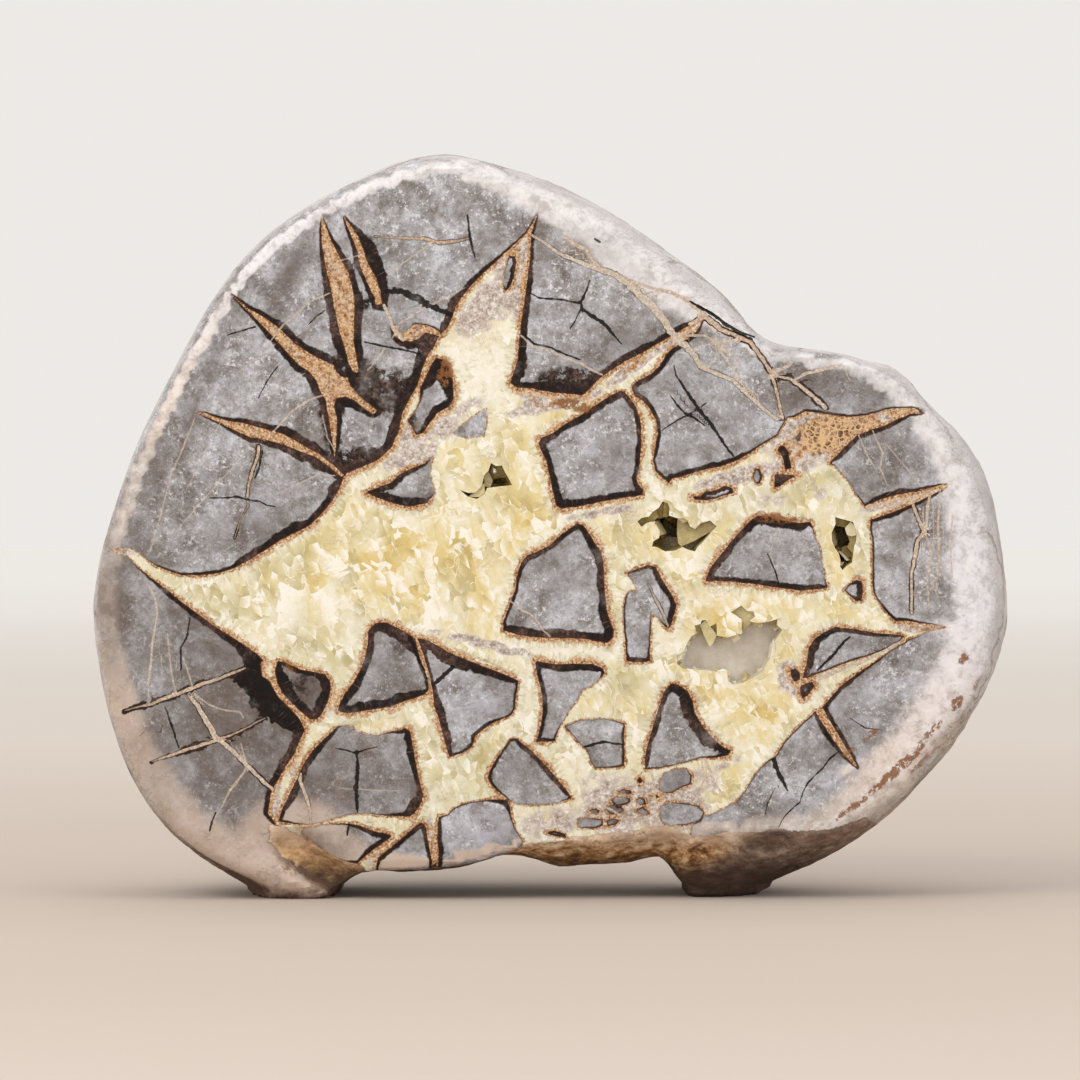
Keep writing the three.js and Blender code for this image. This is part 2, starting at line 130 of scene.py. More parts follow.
# Cracks that aragonite filled, which run into the limestone from the calcite
spikes = [
    [
        (-45.6, 136, 0), (-45.7, 133, 0.3), (-45.6, 130, 0.5), (-44.8, 125, 0.9), (-43.8, 121, 1.3),
        (-43.2, 117.5, 1.5), (-42, 112, 1.6), (-41, 109, 1.5), (-40.2, 106, 1.2), (-39.4, 104.2, 1),
        (-38.3, 104.2, 1), (-38.6, 106.5, 1.2), (-39.3, 110, 1.4), (-39.2, 114, 1.5), (-39.1, 118.5, 1.6),
        (-39.6, 121, 1.5), (-40.3, 124, 1.4), (-42, 127, 1.1), (-43.8, 130.5, 0.6), (-45.1, 134, 0.2),
    ],
    [
        (-41.4, 136, 0), (-41, 134.5, 0.3), (-39.5, 131, 0.6), (-38.6, 128.5, 0.8), (-38, 125.5, 0.9),
        (-36.5, 122, 0.9), (-35, 119, 0.9), (-34.8, 117.6, 0.8), (-33.6, 117.8, 1.2), (-34, 120.5, 1.7),
        (-34.8, 123, 2.1), (-36.5, 126, 2.4), (-37.5, 129, 2.1), (-38.5, 131.5, 1.2), (-40.5, 134.3, 0.4),
    ],
    [
        (-64.5, 120.3, 0), (-63, 119.2, 0.3), (-60.5, 117, 0.6), (-57, 115, 0.8), (-54, 112.8, 1.3),
        (-51, 109.8, 1.5), (-48, 107.8, 1.5), (-45, 106.3, 1.4), (-43.3, 105.6, 1.2), (-42.8, 104.3, 1.2),
        (-41.8, 103.3, 1.2), (-40.5, 103, 1.6), (-40, 101.5, 1.8), (-38.5, 99.8, 1.8), (-36.8, 98.2, 1.2),
        (-34.5, 96.4, 0.8), (-35.5, 95.8, 0.8), (-37, 96.8, 1), (-39, 98.5, 1.4), (-41, 99.3, 2),
        (-42.8, 99, 1.8), (-43.2, 97.5, 1.2), (-42.6, 94.5, 0.9), (-42.7, 92, 0.7), (-42.9, 88, 0.5),
        (-43.1, 87.2, 0.5), (-43.6, 91, 0.8), (-44.2, 95, 1.2), (-44.8, 98.5, 1.4), (-46, 100.5, 1.3),
        (-46.7, 102.5, 1.3), (-48, 104.2, 1.3), (-50, 105.5, 1.3), (-52, 107.5, 1.3), (-54, 109.8, 1.1),
        (-57, 113, 0.7), (-60, 116, 0.5), (-63, 118.8, 0.2),
    ],
    [
        (-72, 96.6, 0), (-69, 96, 0.2), (-66.5, 95, 0.4), (-64, 94.3, 0.6), (-61.5, 94, 0.9),
        (-59, 93.3, 1.1), (-56, 92.5, 1.3), (-53.5, 91.8, 1.5), (-51, 90.5, 1.5), (-48.5, 89, 1.5),
        (-46.5, 88, 1.4), (-44.5, 86.5, 1.2), (-42.5, 84.8, 1), (-41.2, 83.6, 1), (-41.6, 83.2, 1.2),
        (-44.7, 85.7, 1.4), (-47, 87.3, 1.6), (-49, 88, 1.6), (-51.5, 89, 1.4), (-54, 89.9, 1.2),
        (-57, 90.7, 1.1), (-60, 91.2, 1), (-62.5, 92.3, 0.7), (-65, 93.5, 0.4), (-67, 94.5, 0.3),
        (-70.5, 95.9, 0.1),
    ],
    [
        (-31.7, 113.3, 0.2), (-31, 111.3, 0.6), (-29.7, 110.6, 1), (-28, 110.3, 1.3), (-26.3, 110.9, 1.8),
        (-25, 112.1, 1.8), (-23.3, 111.7, 1.5), (-21.5, 111.3, 0.4), (-22.7, 112.7, 0.3), (-25, 113.6, 0.2),
        (-27, 113.8, 0.2), (-28.1, 112.9, 0.1), (-29.3, 111.9, 0.1), (-30.3, 112.3, 0.1), (-30.9, 113.6, 0.1),
    ],
    [
        (53, 36.4, 0.7), (54.6, 36.9, 0.7), (56, 34.3, 0.8), (57.6, 31.7, 0.9), (59.2, 29, 0.8),
        (60.4, 27.1, 0.6), (61.6, 25, 0.2), (60.8, 25.6, 0.2), (58.9, 27.6, 0.6), (57.3, 29.8, 0.8),
        (55.4, 32.6, 0.9),
    ],
]

# Pieces of limestone that float in the calcite
fragments = [
    [
        (-54.5, 46.5, 0.8), (-53, 46.2, 0.8), (-50, 44.8, 0.8), (-47, 44.2, 0.9), (-45, 43.8, 1.8),
        (-44, 42.5, 2), (-43.8, 40.5, 2), (-44.5, 38, 2), (-45.5, 36, 1.6), (-46.5, 34.8, 1.4),
        (-48, 34.7, 1.5), (-49.5, 36, 1.5), (-51.5, 37.8, 1.5), (-53.5, 40, 2), (-54.6, 42, 3),
        (-55, 44.5, 3),
    ],
    [
        (-36.5, 50, 1.3), (-36.3, 52.5, 1.4), (-35, 54, 1.8), (-33, 54.2, 1.8), (-31, 53.3, 2),
        (-28.5, 52, 2.4), (-27, 51, 2.5), (-26, 47, 0.6), (-24.5, 43, 0.5), (-24.3, 40.5, 0.4),
        (-25, 39.7, 1.2), (-27, 39, 1.6), (-30, 38, 1.8), (-32, 37.2, 1.8), (-35, 36.8, 1.8),
        (-38, 36.3, 1.6), (-40, 36, 1.4), (-42.5, 36.3, 1.1), (-42, 38, 1.2), (-41, 40, 1.3),
        (-39.5, 41.8, 1.3), (-38, 44.5, 1.3), (-37, 47, 1.3),
    ],
    [
        (-26.5, 51, 2.5), (-24.5, 50.5, 2.3), (-22.5, 49.5, 2.2), (-20.5, 48.3, 2.2), (-17, 46.8, 1.9),
        (-14, 45.6, 1.7), (-11, 44.5, 1.6), (-8.5, 43.5, 1.3), (-6.3, 42.5, 0.8), (-6.4, 41.2, 0.4),
        (-6.8, 39.5, 0.4), (-7, 37, 0.4), (-7.5, 35.8, 0.4), (-9, 35, 0.3), (-11, 34.2, 0.5),
        (-12.5, 33.3, 0.7), (-14, 32.3, 0.7), (-15, 31.2, 0.7), (-15.2, 30, 0.6), (-16, 28.9, 0.6),
        (-17.5, 28, 0.4), (-18.8, 27.6, 0.5), (-20.2, 27.2, 0.8), (-20.8, 29.5, 1.2), (-21.5, 32, 1.4),
        (-22.3, 35, 1.5), (-23.2, 37.5, 1.5), (-23.4, 40, 0.8), (-24.2, 44, 0.5), (-25.3, 47.5, 0.7),
        (-26, 49.5, 1.5),
    ],
    [
        (-42, 33.5, 0.1), (-39.5, 33.3, 0.1), (-39, 32.5, 0.1), (-37, 31.7, 0.1), (-34.5, 31.5, 0.1),
        (-32, 32.3, 0.2), (-30, 32.5, 0.6), (-29, 33, 1), (-28, 32.5, 1.4), (-27.5, 30, 1.5), (-27, 27, 1.3),
        (-26.5, 24.5, 1), (-26, 22, 1), (-25.3, 19.5, 1.4), (-26, 17.5, 2), (-27, 16, 2.5), (-28, 15.3, 2),
        (-29.5, 15.3, 0.8), (-33, 15.5, 0.2), (-37, 15.9, 0.1), (-40, 15.7, 0.1), (-43, 15, 0.1),
        (-45, 14.3, 0.1), (-48, 13.7, 0.1), (-51, 13.8, 0.2), (-54.3, 14.3, 0.5), (-53.5, 17, 0.9),
        (-52, 20, 1.4), (-50.5, 23, 1.5), (-49.5, 25.5, 1.4), (-47.5, 28.5, 1.3), (-45, 31, 1),
        (-42.5, 33.3, 0.5),
    ],
    [
        (-50, 13, 0.1), (-47.5, 13.3, 0.1), (-44, 13.8, 0.1), (-41, 14, 0.3), (-38, 13.5, 0.8),
        (-35, 12.3, 1), (-33, 12, 1), (-31.5, 11.4, 0.8), (-34, 9.5, 1), (-35.5, 8.5, 1), (-37, 7.2, 0.8),
        (-38.5, 6, 0.5), (-41, 6.3, 0.1), (-44, 7.5, 0.1), (-46, 8.8, 0.1), (-48, 10.5, 0.1),
        (-49.5, 11.8, 0.1),
    ],
    [
        (-25.8, 14.3, 0.8), (-24.8, 13.3, 0.8), (-24.5, 11, 0.8), (-24, 8.5, 0.7), (-23.5, 6, 0.5),
        (-24.5, 2.5, 0.2), (-28, 2.4, 0), (-32, 2.4, 0), (-35, 3.4, 0.2), (-34.5, 7, 0.9), (-33, 8.3, 0.9),
        (-31, 9.8, 0.9), (-28.5, 12, 0.9), (-27, 13.4, 0.9),
    ],
    [
        (-22.3, 15.3, 0.5), (-20.5, 15.7, 0.2), (-19.5, 16.8, 0.2), (-17.5, 17.8, 0.2), (-15, 18.4, 0.15),
        (-12.5, 18.6, 0.2), (-10, 18.8, 0.8), (-8.5, 18.5, 1.2), (-8, 17.3, 1), (-7.8, 15.5, 0.3),
        (-7, 13, 0.15), (-5.7, 11, 0.15), (-5.2, 10, 0.15), (-6, 9.2, 0.1), (-9, 8, 0), (-12, 5, 0),
        (-15, 3.5, 0), (-20, 3, 0), (-22.5, 3.4, 0.5), (-22.3, 8, 1), (-22.6, 11.5, 1),
    ],
    [
        (-8, 30.7, 0.3), (-6.8, 31, 0.5), (-5, 29.5, 0.9), (-3.5, 28.3, 0.9), (-1.5, 26.2, 0.9),
        (0.5, 24, 0.9), (2.5, 21.5, 0.9), (4.5, 19, 0.6), (3.5, 18.7, 0.2), (1.5, 18, 0.1), (-1, 17.7, 0.1),
        (-4, 17.6, 0.1), (-6.5, 17.8, 0.1), (-8, 18.5, 0.1), (-9.5, 19.6, 0.3), (-11, 20.8, 0.5),
        (-12, 22, 0.7), (-12.5, 23, 0.8), (-11.8, 25, 0.6), (-10, 28, 0.4),
    ],
    [
        (-36.8, 80.2, 1.2), (-34, 81.3, 1.2), (-32, 82, 1.2), (-30, 83.8, 1.1), (-28, 84.8, 0.9),
        (-25, 86, 0.4), (-23.5, 87.2, 0), (-24, 83.5, 0), (-23, 80, 0), (-24.5, 78, 1), (-28, 77.2, 1.5),
        (-31, 77.8, 1.6), (-35, 79.2, 1.5),
    ],
    [
        (-26, 101, 0.8), (-25, 103, 2.5), (-24, 105.2, 3), (-22.8, 107.2, 3), (-21.3, 106.6, 3),
        (-20, 104.5, 3), (-19.4, 102.5, 3), (-19.3, 100.8, 2), (-19.3, 99, 1.2), (-20, 97.3, 1.2),
        (-22.5, 96, 1.2), (-24, 94, 1.1), (-25.3, 92, 0.9), (-26.8, 91.5, 0.5), (-27.5, 93, 0.1),
        (-28.5, 94.5, 0.1), (-27, 96.5, 0.1), (-26, 98.5, 0.2),
    ],
    [
        (-19.5, 92, 0), (-17, 94, 0), (-14.5, 95.8, 0), (-12.7, 97, 0), (-12.8, 93.5, 0), (-13.3, 91.5, 0),
        (-16, 91, 0), (-18, 91.3, 0),
    ],
    [
        (-3, 46.5, 1), (-1.8, 46.3, 1.2), (1, 45.7, 1.2), (5, 45.9, 1.2), (8.5, 45.8, 1.2), (10.5, 45, 1),
        (11, 44, 0.5), (10, 42.8, 0.1), (8, 41.2, 0.1), (6.5, 40.7, 0.1), (5.3, 38.5, 0.1), (4, 36.7, 0.1),
        (2.7, 34.5, 0.1), (1.5, 32.3, 0.2), (1, 30.3, 0.6), (-1, 30.2, 0.8), (-2.8, 30.2, 0.8), (-2, 33, 0.8),
        (-1.5, 36, 0.9), (-1.5, 39, 0.9), (-2, 41.5, 0.9), (-2.7, 44, 1),
    ],
    [
        (2.8, 33.3, 0.2), (5, 34.2, 0.1), (8, 34.8, 0.1), (11, 34.9, 0.1), (13.5, 34.4, 0.2), (15, 33.8, 0.3),
        (14.8, 32, 0.4), (14.9, 27, 0.4), (14.8, 25.3, 0.4), (12, 25, 0.2), (9, 25, 0.15), (8.2, 26, 0.15),
        (7.8, 27.5, 0.15), (7.2, 28.8, 0.15), (6, 29.7, 0.15), (4.5, 31.5, 0.15),
    ],
    [
        (24.3, 42, 1.2), (25.5, 41.7, 1.6), (27.5, 40.5, 2.2), (28.5, 38.5, 2.3), (29, 36, 2.3),
        (30.5, 33.5, 2.3), (32.5, 31, 2.2), (34.5, 29.3, 1.8), (36.2, 28.5, 1.5), (35.5, 27.5, 1),
        (33, 27, 0.4), (30, 27, 0.2), (28, 26.4, 0.15), (25, 25.6, 0.15), (22, 25, 0.2), (19, 24.7, 0.4),
        (18.9, 26.5, 0.9), (19.3, 29, 0.9), (20.5, 33, 0.9), (21.5, 36.5, 0.9), (22.8, 40.3, 1.1),
    ],
    [
        (5.5, 74, 1.3), (6.7, 73.5, 1.3), (7.8, 72, 1.2), (9, 70, 1.2), (10.3, 68, 1.2), (10.7, 66, 1.3),
        (10.8, 63, 1.3), (11, 60, 1.3), (11.3, 57, 1.4), (12, 54.5, 1.5), (12.8, 52.5, 2), (12.6, 51, 2.2),
        (11.5, 50, 2.2), (10, 50.2, 1.8), (7, 50.8, 1.6), (3, 51, 1.5), (0, 51, 1.5), (-4, 51.2, 1.6),
        (-7, 51.8, 1.8), (-9.3, 52.5, 1), (-9.5, 54, 0.6), (-8.5, 56.5, 0.5), (-7.8, 58.5, 0.6),
        (-7, 60.5, 0.6), (-6.7, 63, 0.7), (-6.2, 65, 0.8), (-5.5, 66.5, 1), (-4.5, 67.6, 1), (-2.5, 68.3, 1),
        (0, 69.6, 1), (2, 71.5, 1), (4, 73, 1.1),
    ],
    [
        (14.8, 100.3, 1), (16, 99, 0.9), (17.3, 97, 0.9), (18.2, 94, 0.9), (18.3, 90, 0.9), (18, 86, 0.9),
        (17.3, 83, 0.8), (17.5, 82, 0.8), (18.6, 80.5, 1), (18.5, 79.5, 1.1), (14.5, 79, 1.2),
        (10.5, 78.3, 1.2), (6, 77.3, 1.4), (2.5, 76.9, 2), (1.3, 77.3, 2), (0.7, 79.5, 1.4), (0, 83, 1.3),
        (-0.8, 86.5, 1.2), (-1.8, 88.5, 1.2), (-2.3, 89.8, 1.3), (-1.8, 91, 1.3), (0.5, 92, 1.2),
        (3, 93.8, 1.2), (6, 95.5, 1.2), (9, 97.5, 1.2), (12, 99.5, 1.2), (14, 100.4, 1.2),
    ],
    [
        (31, 62.3, 1.1), (32, 65, 1.2), (34, 67.5, 1.2), (36, 70, 1.2), (38, 72.3, 1.3), (40, 74.5, 1.5),
        (41.5, 75.5, 1.8), (44, 75.3, 1.8), (47, 74.5, 1.8), (50, 74, 1.6), (52, 74.3, 1), (52.7, 73, 0.2),
        (53, 71, 0.1), (54, 69, 0.1), (54.4, 66, 0.1), (55, 63, 0.1), (55.6, 61, 0.5), (54, 60.8, 0.9),
        (50, 60.5, 1), (46, 61, 1), (42, 61.6, 1), (37, 62.2, 1), (33, 62.4, 1),
    ],
    [
        (15.3, 64, 0.2), (17, 64.7, 0.5), (19.5, 65.6, 0.6), (21, 65.3, 0.9), (22, 63.5, 1), (23.5, 61, 1),
        (24.5, 59.5, 1), (25.3, 57.5, 1), (24.8, 55.5, 1), (24, 53, 0.9), (23, 53.2, 0.3), (21.5, 55, 0),
        (19.8, 57, 0), (18.3, 59.3, 0), (17, 61.5, 0),
    ],
    [
        (16, 60.5, 0.1), (17.5, 60.3, 0.1), (19, 58.3, 0.1), (20.3, 56.3, 0.1), (20.2, 54, 0.2),
        (20, 50, 0.2), (20, 46.3, 0.6), (17.5, 46.2, 0.8), (15.3, 46.3, 0.8), (15.2, 48, 0.3), (15, 51, 0.3),
        (14.7, 54, 0.3), (14.7, 57.5, 0.3), (15.2, 59.5, 0.2),
    ],
    [
        (58.8, 60.5, 0.2), (59.8, 61.8, 0.2), (61.3, 62.7, 0.8), (62.3, 62.3, 1), (62.6, 60.5, 1),
        (62.3, 58.5, 1), (61.2, 58.3, 0.8), (60, 59.5, 0.2),
    ],
    [
        (50.5, 43, 1.6), (51.3, 46, 1.6), (51.7, 49, 1.6), (53, 51, 1.3), (55, 52.3, 1), (57, 53.2, 0.8),
        (61, 52.8, 0.8), (65, 52, 0.7), (68, 51.8, 0.5), (71, 51.5, 0.3), (70, 50.5, 0.2), (67.5, 49, 0.3),
        (64, 47.5, 0.3), (60, 46.3, 0.3), (57, 45.2, 0.3), (54, 44, 0.3), (51.5, 43, 0.8),
    ],
    [(48, 44.7, 1), (49, 44.9, 1), (50, 44, 1), (50, 42.7, 1), (49, 42.2, 1), (48.2, 43.3, 1)],
    [(50, 41.5, 1), (52.5, 42.3, 1), (53, 41.5, 1), (51.5, 39.5, 0.8), (50.6, 38.8, 0.8), (50, 40, 1)],
    [
        (45.8, 89.3, 1), (46.8, 89.5, 1), (47.7, 88.3, 1), (48.3, 85, 1), (47, 84.5, 1), (46.6, 87, 1),
        (45.5, 88.5, 1),
    ],
    [(44.8, 81, 1), (45, 83.8, 1), (49.5, 83.5, 0.9), (47.5, 82.5, 0.9), (46, 81.3, 1)],
    [
        (40.5, 83.3, 0.2), (41, 84.8, 0.2), (41.9, 84.9, 0.3), (42.5, 83.4, 0.4), (42, 81.8, 0.4),
        (41, 81.9, 0.2)],
    [
        (28, 79.5, 1.3), (30, 79.3, 0.8), (31, 80.3, 0.8), (33, 80.5, 0.9), (35, 81.5, 1), (36.5, 81, 1),
        (36.8, 80, 0.5), (35, 79.6, 0.3), (33, 78.8, 0.3), (31, 78.5, 0.8), (29, 78.7, 1.2),
    ],
    [(49, 91, 0.3), (50, 92.5, 0.3), (50.3, 91.5, 0.3), (49.5, 90, 0.3)],
    [
        (-8.2, 127.4, 0.2), (-7, 127.4, 0.8), (-6.7, 126, 0.9), (-7.2, 123, 0.9), (-8.2, 120.8, 0.8),
        (-9, 120.4, 0.5), (-9.4, 121.5, 0.1), (-9, 125, 0.1),
    ],
    # crushed limestone in the lower middle
    [(13.3, 20.2, 0.1), (14.5, 20.8, 0.2), (16, 20.5, 0.3), (16.8, 20, 0.3), (15, 19.8, 0.1)],
    [
        (12, 18.5, 0.2), (13, 19.3, 0.1), (15, 19.2, 0.1), (16.3, 18.8, 0.3), (15.5, 17.8, 0.3),
        (13.5, 17.2, 0.3)],
    [(17, 18.5, 0.1), (18, 19.3, 0.2), (19, 18.7, 0.3), (19.3, 17.7, 0.3), (18, 17.6, 0.1)],
    [(11, 16.8, 0.1), (12, 17.7, 0.1), (14, 17.5, 0.2), (15, 16.5, 0.3), (14, 15.8, 0.3), (12, 15.7, 0.2)],
    [(17, 16.5, 0.2), (18.5, 17.3, 0.2), (19.8, 16.3, 0.2), (19.7, 15.5, 0.1), (18, 15.8, 0.1)],
    [(5.5, 14.8, 0.1), (7, 15, 0.1), (10.5, 14.8, 0.2), (10.8, 13.5, 0.3), (9, 12.9, 0.3), (5.7, 13, 0.1)],
    [(11.2, 14.5, 0.2), (12.5, 14.9, 0.2), (14, 14.6, 0.2), (13, 13.6, 0.2), (11.5, 13.3, 0.2)],
    [(7.5, 16.5, 0.1), (9, 17, 0.2), (10.3, 16.3, 0.2), (9, 15.8, 0.1)],
    [
        (22, 22.5, 0.1), (22.8, 24, 0.1), (25, 24.8, 0.1), (27.3, 24.9, 0.1), (28.4, 23.5, 0.3),
        (28.2, 21.8, 0.3), (26, 21, 0.2), (24.5, 20, 0.2), (22.5, 20, 0.1), (21.7, 21, 0.1),
    ],
    [
        (21.9, 15.5, 0.1), (22.2, 17.5, 0.1), (24, 18.3, 0.1), (27, 18, 0.2), (29.5, 17.5, 0.2),
        (31, 16, 0.2), (29.8, 14.3, 0.2), (27, 13.6, 0.2), (24, 13.5, 0.1), (22.3, 14.3, 0.1),
    ],
    [(-1, 12.2, 0.3), (1, 12.5, 0.4), (3, 11.8, 0.4), (3.5, 11, 0.4), (1.5, 11.3, 0.4), (0, 11.7, 0.3)],
    [(17.3, 22.5, 0.8), (18, 23.3, 0.8), (18.5, 22.3, 0.8), (17.9, 21.8, 0.8)],
    [(20.5, 19.3, 0.9), (21.5, 19.7, 0.9), (22, 18.8, 0.9)],
]


